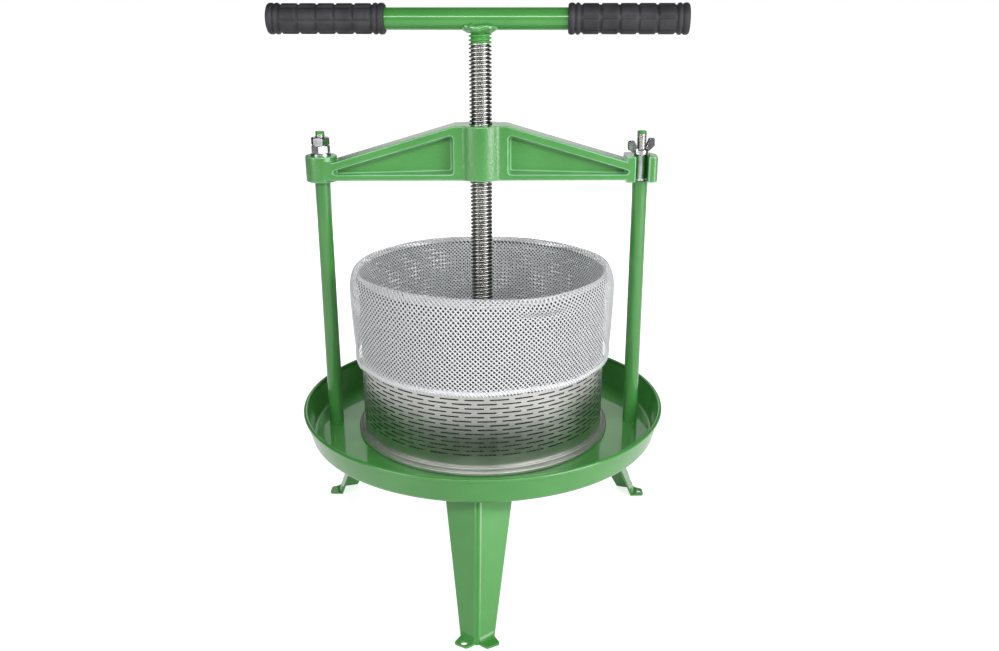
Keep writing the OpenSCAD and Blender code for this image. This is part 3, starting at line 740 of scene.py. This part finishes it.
# %% Grips
handle_low, handle_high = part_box("handle_bar")
bar_z = (handle_low.z + handle_high.z) / 2
handle_turn = math.radians(-3.5)
handle_end, handle_shift = 210.5 * mm, 3.6 * mm
sleeves = grip_tree()
for side, hand in (("left", -1.0), ("right", 1.0)):
    grip = grow("grip_" + side + "_moulded", sleeves, rubber, length=119.0 * mm,
                radius=15.45 * mm, groove=2.3 * mm, bore=11.1 * mm,
                start=handle_end - hand * handle_shift, hand=hand, bar_height=bar_z,
                turn=handle_turn, block_zone=93.0 * mm,
                block_angle=math.radians(-90.0 * hand + 22.0), rows=5, blocks=6)
    fit(grip, "grip_" + side, slot="grip_rubber")

# %% [markdown]
# # Threads
# A screw thread is one ridge that climbs as it goes round. The simplest mesh for it is a grid:
# each column of points climbs by one pitch over a full turn, and the rows then follow the ridge,
# so its crest and root stay crisp with few faces. Geometry Nodes bend the grid with a formula,
# and the same tree makes the press screw and the two studs.

# %% Thread tree
def thread_tree():
    tree = ShapeTree("thread", "Radius", "Depth", "Pitch", "Bottom", "Top", "Axis x",
                     counts=("Sides", "Turns"))
    outer, depth, pitch, bottom, top, axis_x, sides, turns = tree.sizes
    rows_a_turn = 8
    rows = turns * rows_a_turn
    grid = tree.shape("MeshGrid", {"Size X": 1.0, "Size Y": rows, "Vertices X": sides + 1,
                                   "Vertices Y": rows + 1})
    x, y, _ = tree.position()
    around = x + 0.5
    climb = (y + rows * 0.5) / rows_a_turn
    narrow = (climb * (4 * math.pi)).sin() * 0.045
    height = bottom + (climb + narrow + around - 3.0) * pitch
    ridge = ((abs(climb % 1.0 - 0.5) * 2.0 - 0.35) / 0.3).clamp()
    root = outer - depth
    beyond = ((bottom - height) / pitch).clamp().at_least(((height - top) / pitch).clamp())
    z = height.at_least(bottom).at_most(top)
    lead = (z - bottom).at_most(top - z)
    radius = (root + depth * ridge).at_most(root + lead) * (1.0 - beyond)
    angle = around * (2 * math.pi)
    point = tree.join(radius * angle.cos() + axis_x, radius * angle.sin(), z)
    tree.finish(tree.merged(tree.place(grid, point)))
    return tree


threads = thread_tree()
print("thread tree:", len(threads.group.nodes), "nodes")

# %% [markdown]
# ## Press screw
# The screw is a 23 mm bar with a coarse square-shouldered thread of 4 mm pitch. It runs from the
# swivel foot up into the handle bar, where it is welded. The threads stop in a short lead at each
# end. Below it a plain pivot turns in the swivel foot.

# %% Lathe helper
def lathe(name, profile, material, axis_x=0.0):
    """Turns a profile of (radius, height) points in mm round an upright axis."""
    sides = 96
    angles = np.linspace(0.0, 2 * math.pi, sides, endpoint=False)
    work = bmesh.new()
    rings = []
    for radius, height in profile:
        if radius == 0:
            rings.append([work.verts.new((axis_x, 0.0, height * mm))] * sides)
        else:
            rings.append([work.verts.new((axis_x + radius * mm * math.cos(a),
                                          radius * mm * math.sin(a), height * mm))
                          for a in angles])
    for low, high in zip(rings, rings[1:]):
        for i in range(sides):
            j = (i + 1) % sides
            face = list(dict.fromkeys((low[i], low[j], high[j], high[i])))
            if len(face) > 2:
                work.faces.new(face)
    mesh = made(work, name)
    mesh.shade_smooth()
    mesh.set_sharp_from_angle(angle=smooth_to)
    mesh.materials.append(material)
    return new_piece(name, mesh)


# %% Press screw
screw_low, screw_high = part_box("press_screw")
weld_low, weld_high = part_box("handle_weld")
pad_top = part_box("swivel_foot")[1].z
pitch = 4.0 * mm
into_bar = 3 * mm
spare_turns = 6
screw_top = weld_high.z + into_bar
thread_steel = screw_finish("turned_screw_steel", weld_low.z, 7.5 * mm, screw_high.x)
screw = grow("press_screw_thread", threads, thread_steel, radius=screw_high.x, depth=2.0 * mm,
             pitch=pitch, bottom=pad_top, top=screw_top, sides=72,
             turns=round((screw_top - pad_top) / pitch) + spare_turns)
fit(screw, "press_screw", slot="screw_steel")
pivot_end, neck = screw_low.z / mm, pad_top / mm + 0.5
pivot_profile = [(0, pivot_end), (6.5, pivot_end), (7, pivot_end + 0.5), (7, neck), (0, neck)]
pivot = lathe("press_screw_pivot", pivot_profile, plate_steel)
fit(pivot, body=body_of["press_screw"], slot="screw_steel")

# %% [markdown]
# ## Handle weld
# The bar sits in a notch across the screw's top, and a fillet weld runs round the joint. A weld
# bead is never a clean cone: it spreads along the bar, pulls in under it and carries the ripples
# of the arc. A lathed collar is pushed out along the bar and rippled with a few sine waves. It
# ends just above the beam's boss when the screw is wound all the way down.

# %% Handle weld
weld_profile = [(11.3, 567.9), (12.0, 568.3), (13.4, 569.1), (15.0, 570.1), (16.4, 571.5),
                (17.2, 573.0), (16.8, 575.0), (14.0, 577.0), (10.0, 578.5)]
profile_bar_z = 581.5
weld_shift = bar_z / mm - profile_bar_z
weld = lathe("handle_weld_bead", [(r, z + weld_shift) for r, z in weld_profile], cast_paint)
for vertex in weld.data.vertices:
    point = vertex.co.copy()
    angle = math.atan2(point.y, point.x) - handle_turn
    height = min(1.0, max(0.0, (point.z - (bar_z - 16 * mm)) / (7 * mm)))
    spread = 1 + 0.14 * height * math.cos(angle) ** 2 - 0.17 * height * math.sin(angle) ** 4
    ripple = 0.45 * mm * height * math.sin(11 * angle + 1.5 * math.sin(3 * angle))
    flat = Vector((point.x, point.y, 0))
    flat *= spread + ripple / flat.length
    wander = 0.5 * mm * math.sin(5 * angle + 1) + 0.25 * mm * math.sin(17 * angle)
    vertex.co = Vector((flat.x, flat.y, point.z + wander))
fit(weld, "handle_weld", slot="green_paint")
print("weld reaches", round(max(v.co.x for v in weld.data.vertices) / mm, 1), "mm from the axis")

# %% [markdown]
# ## Posts
# Each post is a 16 mm bar with its end turned down to 10 mm and threaded for a nut. The bar's
# green is the sheet's green made darker, a painted shade. The thread is bare but for the last
# turns, where the spray reached it. The bar and its turned shank are one lathed piece, and the
# thread comes from the same tree as the big screw.

# %% Posts
tray_sheet, bar_length, shank_length, thread_overlap = 2, 275, 26, 6
bar_radius, stud_radius, stud_pitch = 8, 5.0, 1.5
seat = 144
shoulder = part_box("tray")[0].z / mm + tray_sheet + bar_length
shank_top = shoulder + shank_length
stud_from = shank_top - thread_overlap
for side in ("left", "right"):
    node = "post_" + side
    low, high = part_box(node)
    axis = (low.x + high.x) / 2
    foot = low.z / mm
    outline = [(0, foot), (4.6, foot), (stud_radius, foot + 0.6), (stud_radius, seat),
               (bar_radius, seat), (bar_radius, shoulder - 0.6), (bar_radius - 0.6, shoulder),
               (stud_radius, shoulder), (stud_radius, shank_top - 0.5),
               (stud_radius - 0.8, shank_top), (0, shank_top)]
    bar = lathe(node + "_bar", outline, shaded_post_paint, axis_x=axis)
    bar.data.materials.append(zinc)
    for face in bar.data.polygons:
        if face.center.z > (shoulder - 0.3) * mm:
            face.material_index = 1
    fit(bar, node, slot="green_paint")
    stud_finish = screw_finish("stud_steel_" + side, high.z, 1.6 * mm, stud_radius * mm, axis)
    stud = grow("post_thread_" + side, threads, stud_finish, radius=stud_radius * mm,
                depth=0.75 * mm, pitch=stud_pitch * mm, bottom=stud_from * mm, top=high.z,
                axis_x=axis, sides=40,
                turns=round((high.z / mm - stud_from) / stud_pitch) + spare_turns)
    fit(stud, body=body_of[node], slot="zinc")

# %% [markdown]
# # Slotted basket
# The basket is one stainless sheet, punched flat with rows of narrow slots and rolled to a ring.
# It is made here the same way. A flat grid has three rows of points for each row of slots, the
# faces inside the slots are deleted, and the sheet is then rolled. The middle row reaches a
# little further than its neighbours, which rounds the slots' ends with no extra faces.

# %% Basket tree
def slotted_sheet_tree():
    tree = ShapeTree("slotted sheet", "Radius", "Bottom", "Height", "Slot length", "Slot height",
                     "Rise", "Lowest", counts=("Slots round", "Rows"))
    radius, bottom, tall, slot_long, slot_high, rise, lowest, slots, rows = tree.sizes
    cells = 8
    columns = slots * cells
    lines = rows * 3 + 1
    grid = tree.shape("MeshGrid", {"Size X": columns, "Size Y": lines,
                                   "Vertices X": columns + 1, "Vertices Y": lines + 1})

    def counted(shift):
        """Column, line, slot row, part of the row, stagger and cell, of a point or a face."""
        x, y, _ = tree.position()
        column = (x + columns * 0.5 + shift).floor()
        line = (y + lines * 0.5 + shift).floor()
        row = ((line - 1.0) / 3.0).floor()
        stagger = (row % 2.0) * (cells / 2)
        cell = (column + stagger) % float(cells)
        return column, line, row, line - 1.0 - row * 3.0, stagger, cell

    _, line, row, part, _, cell = counted(0.0)
    inside = (part < 1.5) * (cell < cells - 2.5) * (line > 0.5) * (row < rows - 0.5)
    punched = tree.shape("DeleteGeometry", {"Geometry": grid, "Selection": inside}, domain="FACE")

    column, line, row, part, stagger, cell = counted(0.25)
    pitch = 2 * math.pi * radius / slots
    step = slot_long / (cells - 2)
    middle = (cells - 2) / 2
    land = cell > cells - 1.5
    corner = abs(part - 1.0) * (abs(cell - middle) > middle - 0.5)
    across = (cell - middle) * step * (1.0 - corner * 0.06) * (1.0 - land) + land * pitch * 0.5
    start = (((column + stagger) / cells).floor() - stagger / cells) * pitch
    level = lowest + row * rise + (part - 1.0) * slot_high * 0.5
    last = line > lines - 0.5
    height = level * (1.0 - (line < 0.5)) * (1.0 - last) + last * tall
    angle = (start + across) / radius
    point = tree.join(radius * angle.cos(), radius * angle.sin(), height + bottom)
    tree.finish(tree.merged(tree.place(punched, point)))
    return tree


shell_low, shell_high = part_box("basket_shell")
shell = grow("basket_slotted_sheet", slotted_sheet_tree(), basket_steel, thickness=1.2 * mm,
             radius=shell_high.x, bottom=shell_low.z, height=shell_high.z - shell_low.z,
             slot_length=20.0 * mm, slot_height=1.5 * mm, rise=4.63 * mm, lowest=20.9 * mm,
             slots_round=33, rows=33)
shell.data.set_sharp_from_angle(angle=math.radians(30.0))
fit(shell, "basket_shell", slot="stainless")

# %% [markdown]
# # Filter bag
# The bag is an open net of two sets of threads that cross at right angles, both slanted 45 degrees
# to the basket's axis. It lines the basket, comes up over the rim and hangs outside as a wide cuff.
# Its section is drawn once, as a path from the tray floor up the wall, over the rim and down to the
# hem. Each thread follows that path while it turns round the axis, as far sideways as it goes up.
# The threads are flat bands that lie close, because the real net is dense, with small holes.

# %% Bag section
liner = 130.5
bag_section = [(liner, 146.0), (126.8, 153.0), (122.6, 176.0), (122.2, 205.0), (125.4, 240.0),
               (126.8, 274.0), (129.8, 308.0), (131.2, 320.0), (132.6, 326.0), (134.8, 328.0),
               (137.2, 326.8), (139.4, 323.2), (141.0, 317.0), (141.8, 308.0), (141.2, 284.0),
               (139.7, 257.0), (138.2, 233.0)]
steps_a_span = 4


def smooth_path(points, steps):
    """A Catmull-Rom curve through the points, with the same number of steps in each span."""
    p = np.array([points[0], *points, points[-1]], float)
    path = []
    for a, b, c, d in zip(p, p[1:], p[2:], p[3:]):
        for t in np.linspace(0, 1, steps, endpoint=False):
            path.append(0.5 * (2 * b + (c - a) * t + (2 * a - 5 * b + 4 * c - d) * t**2
                               + (3 * b - a - 3 * c + d) * t**3))
    path.append(p[-1])
    return np.array(path)


def section_mesh(path):
    """The section as a line of points that each know how far a thread has turned there."""
    run = np.linalg.norm(np.diff(path, axis=0), axis=1)
    middle = (path[1:, 0] + path[:-1, 0]) / 2
    twist = np.concatenate([[0], np.cumsum(run / middle)])
    mesh = bpy.data.meshes.new("bag_section")
    edges = [(i, i + 1) for i in range(len(path) - 1)]
    mesh.from_pydata([(r * mm, 0, z * mm) for r, z in path], edges, [])
    layer = mesh.attributes.new("twist", "FLOAT", "POINT")
    layer.data.foreach_set("value", twist.astype(np.float32))
    return mesh, run.sum()


section = smooth_path(bag_section, steps_a_span)
section_line, section_length = section_mesh(section)
print("bag section:", len(section), "points,", round(section_length, 1), "mm long")

# %% Net tree
def net_tree():
    tree = ShapeTree("net", "Width", "Thick", "Layer", counts=("Threads",))
    width, thick, layer, count = tree.sizes

    def vector(operation, inputs):
        return tree.out("ShaderNodeVectorMath", inputs, operation=operation)

    curve = tree.shape("MeshToCurve", {"Mesh": tree.inputs["Geometry"]})
    place = tree.shape("InputPosition")
    tangent = tree.shape("InputTangent")
    outward = vector("CROSS_PRODUCT", {0: tangent, 1: (0, 1, 0)})
    twist = Field(tree, tree.shape("InputNamedAttribute", {"Name": "twist"}, data_type="FLOAT"))
    square = tree.shape("CurvePrimitiveCircle", {"Resolution": 4, "Radius": 0.5})
    profile = tree.shape("Transform", {"Geometry": square, "Scale": tree.join(thick, width, 1.0)})
    x, y, _ = tree.split(place)
    facing = vector("CROSS_PRODUCT", {0: tangent, 1: tree.join(y * -1.0, x, 0.0)})
    starts = tree.shape("MeshLine", {"Count": count, "Offset": (0, 0, 0)})
    start = tree.join(0.0, 0.0, tree.index() * (2 * math.pi) / count)
    rings = []
    for hand in (1.0, -1.0):
        lift = vector("SCALE", {0: outward, "Scale": layer * (0.5 * hand)})
        wound = tree.turned(vector("ADD", {0: place, 1: lift}), twist * hand)
        strand = tree.place(curve, wound)
        flat = tree.shape("SetCurveNormal", {"Curve": strand, "Normal": facing}, mode="FREE")
        band = tree.shape("CurveToMesh", {"Curve": flat, "Profile Curve": profile,
                                          "Fill Caps": True})
        rings.append(tree.shape("InstanceOnPoints", {"Points": starts, "Instance": band,
                                                     "Rotation": start}))
    tree.finish(tree.joined(rings))
    return tree


# %% [markdown]
# ## How the bag hangs
# A net that has been folded flat and pulled over a rim is never a perfect ring. The cuff stands
# off in shallow waves that grow towards the hem, keeps the two creases of its packet, and rides
# higher on the rim at the front. At the right front it is crumpled: the cuff dents just under the
# rim, and the net is pushed together there until its holes close. One function moves any point of
# the bag this way, so that the net and its hem stay together. The liner only ever moves inwards,
# off the steel.

# %% Bumps and waves
def hump(value, middle, half):
    """A smooth bump, 1 at its middle."""
    return np.exp(-(((value - middle) / half) ** 2))


def off_side(angle, side):
    """How far an angle lies from a direction in degrees."""
    return (angle - math.radians(side) + math.pi) % (2 * math.pi) - math.pi


def bell(angle, side, width):
    """A smooth bump round one direction, 1 at its centre."""
    return hump(off_side(angle, side), 0, math.radians(width))


def ridge(angle, side, width):
    """A sharp crease in one direction, 1 on its edge, with hollow flanks."""
    return np.exp(-np.abs(off_side(angle, side)) / math.radians(width))


def waves(angle, *rows):
    """Waves round the bag: each row is how many, how high, and their shift."""
    return sum(height * np.sin(count * angle + shift) for count, height, shift in rows)


# %% Drape
crumple_side, crumple_height = -62, 315.0
rim_height = 323


def drape(points):
    """Moves points of the ideal ring-shaped bag to where the real one hangs."""
    x, y, z = points.T / mm
    radius = np.hypot(x, y)
    angle = np.arctan2(y, x)
    outside = np.clip((radius - 133.0) / 4.5, 0, 1)
    outside = outside * outside * (3 - 2 * outside)
    top = np.clip((z - 285.0) / 35.0, 0, 1)
    low = np.clip((316.0 - z) / 84.0, 0, 1) * outside
    rim = hump(z, rim_height, 11)
    crumple = bell(angle, crumple_side, 11.0)

    wave = waves(angle, (5, 0.5, 0.6), (8, 0.35, 2.1), (13, 0.2, z / 31))
    crease = 4.6 * ridge(angle, 206, 7.5) + 2.2 * ridge(angle, -24, 8.0)
    dent = (2.4 * hump(z, 308, 6) - 2.0 * rim) * crumple
    pleat = 0.9 * hump(z, 300, 14) * bell(angle + z / 160, 49, 4.0)
    out = outside * (wave * (0.4 + 0.3 * low) + crease * (1 - 0.4 * low) + dent + pleat)
    inward = 0.5 + waves(angle, (6, 0.45, z / 45), (11, 0.3, -z / 27))
    inward = (1 - outside) * (1 - top) * inward

    lift = top * (waves(angle, (-1, 2.2, 0), (3, 0.4, 1.0), (7, 0.3, 0)) - 0.9)
    lift = lift + top * 2.2 * bell(angle, -122, 30)
    lift = lift - rim * outside * 4.6 * bell(angle, crumple_side, 12.0)
    pinch = 0.68 * (z - crumple_height) * hump(z, crumple_height, 9)
    lift = lift - pinch * outside * crumple
    sag = low * (waves(angle, (4, 0.8, 0.5), (9, 0.5, 0)) - 1.8 * bell(angle, 196, 12))

    radius = radius + out - inward
    angle = angle + waves(angle, (2, 0.011, z / 26), (5, 0.006, -z / 15))
    return np.column_stack([radius * np.cos(angle), radius * np.sin(angle), z + lift + sag]) * mm


def hang(piece):
    """Applies the drape to every point of a piece."""
    points = np.empty(len(piece.data.vertices) * 3)
    piece.data.vertices.foreach_get("co", points)
    piece.data.vertices.foreach_set("co", drape(points.reshape(-1, 3)).ravel())
    piece.data.update()
    return piece


# %% Net over the rim
weave = net_tree()
thread_count = 178
net = hang(grow("bag_net", weave, thread, base=section_line, width=1.55 * mm, thick=0.42 * mm,
                layer=0.3 * mm, threads=thread_count))
print("threads", round(2 * math.pi * liner / thread_count, 2), "mm apart at the basket's foot")

# %% Hem
def ring_band(name, radius, height, wide, thick, slope, material):
    """A flat tape with rounded edges that runs round the axis, from sizes in mm."""
    sides, rim = 240, 10
    work = bmesh.new()
    loops = []
    for a in np.linspace(0, 2 * math.pi, sides, endpoint=False):
        loop = []
        for b in np.linspace(0, 2 * math.pi, rim, endpoint=False):
            tall = wide / 2 * math.sin(b)
            r = radius + thick / 2 * math.cos(b) + slope * tall
            point = (r * math.cos(a) * mm, r * math.sin(a) * mm, (height + tall) * mm)
            loop.append(work.verts.new(point))
        loops.append(loop)
    for loop, after in zip(loops, loops[1:] + loops[:1]):
        for j in range(rim):
            k = (j + 1) % rim
            work.faces.new((loop[j], after[j], after[k], loop[k]))
    mesh = made(work, name)
    mesh.shade_smooth()
    mesh.materials.append(material)
    return new_piece(name, mesh)


hem = hang(ring_band("bag_hem", 138.2, 233.8, wide=5.0, thick=0.9, slope=0.05, material=tape))
hem_line, _ = section_mesh(np.array([(137.9 + 0.06 * i, 231.0 + 1.1 * i) for i in range(7)]))
hem_net = hang(grow("bag_hem_weave", weave, tape, base=hem_line, width=0.95 * mm,
                    thick=0.95 * mm, layer=1.8 * mm, threads=240))

# %% [markdown]
# ## Floor of the bag
# The bag's round bottom is the same net, laid flat on the tray. Its threads are straight, so each
# one is a single bar as long as the chord it spans. Only a narrow ring of it shows round the
# pressing plate, but the bag has no hole there.

# %% Bag floor
def flat_net_tree():
    tree = ShapeTree("flat net", "Thread", "Spacing", "Radius", "Height", counts=("Threads",))
    thick, spacing, radius, height, count = tree.sizes
    disc = tree.shape("CurvePrimitiveCircle", {"Resolution": 6, "Radius": thick * 0.5})
    line = tree.shape("CurvePrimitiveLine", {"Start": (0, -1, 0), "End": (0, 1, 0)})
    bar = tree.shape("CurveToMesh", {"Curve": line, "Profile Curve": disc, "Fill Caps": True})
    across = (tree.index() - (count - 1.0) * 0.5) * spacing
    row = tree.shape("MeshLine", {"Count": count, "Offset": (0, 0, 0)})
    spread = tree.place(row, tree.join(across, 0.0, 0.0))
    x, _, _ = tree.position()
    chord = (radius * radius - x * x).root()
    layers = []
    for hand in (1.0, -1.0):
        bars = tree.shape("InstanceOnPoints", {"Points": spread, "Instance": bar,
                                               "Scale": tree.join(1.0, chord, 1.0)})
        lift = tree.join(0.0, 0.0, height + thick * (0.25 * hand))
        layers.append(tree.shape("Transform", {"Geometry": bars, "Translation": lift,
                                               "Rotation": (0, 0, hand * math.pi / 4)}))
    tree.finish(tree.joined(layers))
    return tree


bag_floor = grow("bag_floor", flat_net_tree(), thread, thread=0.9 * mm, spacing=3.5 * mm,
                 radius=130.4 * mm, height=144.95 * mm, threads=74)
for piece in (net, hem, hem_net, bag_floor):
    fit(piece, "filter_bag", slot="bag_net")

# %% [markdown]
# # Studio
# The press stands on a white sweep under large soft lamps. The background is white because the
# floor and the world are white to the camera and to reflections, and not because the lamps are
# strong. The floor still takes the press's shadow.

# %% Studio helpers
def seen_directly(tree, mirrored):
    """1 for rays from the camera or through glass, less in a mirror, 0 for light itself."""
    path = tree.add("ShaderNodeLightPath").outputs
    from_camera, in_mirror, through_glass = [
        Field(tree, path[f"Is {kind} Ray"]) for kind in ("Camera", "Glossy", "Transmission")]
    return from_camera.at_least(in_mirror * mirrored).at_least(through_glass)


def flat_sheet(name, corners, material):
    """A part of the studio that is one flat face."""
    mesh = bpy.data.meshes.new(name)
    mesh.from_pydata(corners, [], [(0, 1, 2, 3)])
    mesh.materials.append(material)
    sheet = new_piece(name, mesh)
    print(name, "is in the studio")
    return sheet


def level_corners(reach_x, reach_y, height):
    """The corners of a level sheet over the origin."""
    signs = ((-1, -1), (1, -1), (1, 1), (-1, 1))
    return [(x * reach_x, y * reach_y, height) for x, y in signs]


# %% Floor and world
floor_material = bpy.data.materials.new("white_sweep")
floor_material.use_nodes = True
sweep = Tree(floor_material.node_tree)
sweep.group.nodes.clear()
matt = sweep.out("ShaderNodeBsdfDiffuse", {"Color": (0.72, 0.72, 0.72, 1)})
east, north, _ = sweep.split(sweep.add("ShaderNodeTexCoord").outputs["Object"])
feet_reach, near_glow = 0.3, 0.76
away = ((east * east + north * north).root() - feet_reach).clamp()
strength = seen_directly(sweep, 0.6) * (near_glow + away * (1.0 - near_glow))
glow = sweep.out("ShaderNodeEmission", {"Color": (1, 1, 1, 1), "Strength": strength})
both = sweep.out("ShaderNodeAddShader", {0: matt, 1: glow})
sweep.add("ShaderNodeOutputMaterial", {"Surface": both})
flat_sheet("studio_floor", level_corners(15.0, 15.0, 0), floor_material)

world = bpy.data.worlds.new("studio")
scene.world = world
world.use_nodes = True
sky = Tree(world.node_tree)
background = world.node_tree.nodes["Background"].inputs
ambient = 0.07
sky.plug(seen_directly(sky, 0.8) * (1.0 - ambient) + ambient, background["Strength"])
background["Color"].default_value = (1, 1, 1, 1)

# %% [markdown]
# ## Lamps and cards
# Three softboxes light the front: a strong one at the right, a weaker one at the left and a long
# low one above the camera. A fourth stands behind, so that the back is lit as well. Reflections
# don't see that one, or it would whiten the tray's floor and the top of the beam. Dark cards stand
# behind the camera, at both sides and behind the press, and one hangs overhead. Only reflections
# see them, and they give the bright metal and the paint something dark to mirror.

# %% Lamps
def softbox(name, place, aim_height, wide, tall, power):
    """A rectangular lamp that faces the press at some height."""
    lamp = bpy.data.lights.new(name, "AREA")
    lamp.shape = "RECTANGLE"
    lamp.size = wide
    lamp.size_y = tall
    lamp.energy = power
    holder = bpy.data.objects.new(name, lamp)
    scene.collection.objects.link(holder)
    holder.location = place
    aim = Vector((0, 0, aim_height)) - Vector(place)
    holder.rotation_euler = aim.to_track_quat("-Z", "Y").to_euler()
    holder.visible_camera = False
    print(name, power, "W")
    return holder


softbox("lamp_right", (1.55, -1.15, 0.78), 0.33, wide=1.25, tall=1.5, power=28)
softbox("lamp_left", (-1.5, -1.15, 0.82), 0.33, wide=0.8, tall=1.1, power=9.5)
softbox("lamp_front", (0.05, -1.5, 1.27), 0.35, wide=1.6, tall=0.2, power=13)
lamp_back = softbox("lamp_back", (-0.3, 1.7, 0.7), 0.25, wide=1.8, tall=1.2, power=17)
lamp_back.visible_glossy = False

# %% Cards
card_black = Finish("dark_card", (0.012, 0.012, 0.012), Roughness=1.0).material


def dark_card(name, corners):
    """A flat dark card that only reflections see."""
    card = flat_sheet(name, corners, card_black)
    card.visible_camera = False
    card.visible_diffuse = False
    card.visible_shadow = False


def upright_corners(left, right, top=2.4):
    """The corners of an upright card between two places on the floor."""
    bottom = 0.02
    return [(*left, bottom), (*right, bottom), (*right, top), (*left, top)]


dark_card("card_behind_camera", upright_corners((-0.9, -3.0), (0.9, -3.0), top=2.6))
dark_card("card_left", upright_corners((-2.6, -0.9), (-2.2, 1.2)))
dark_card("card_right", upright_corners((2.2, 1.2), (2.6, -0.9)))
dark_card("card_back_left", upright_corners((-2.2, 1.2), (-0.62, 2.3)))
dark_card("card_back_right", upright_corners((0.62, 2.3), (2.2, 1.2)))
dark_card("card_overhead", level_corners(2.2, 2.6, 2.5))
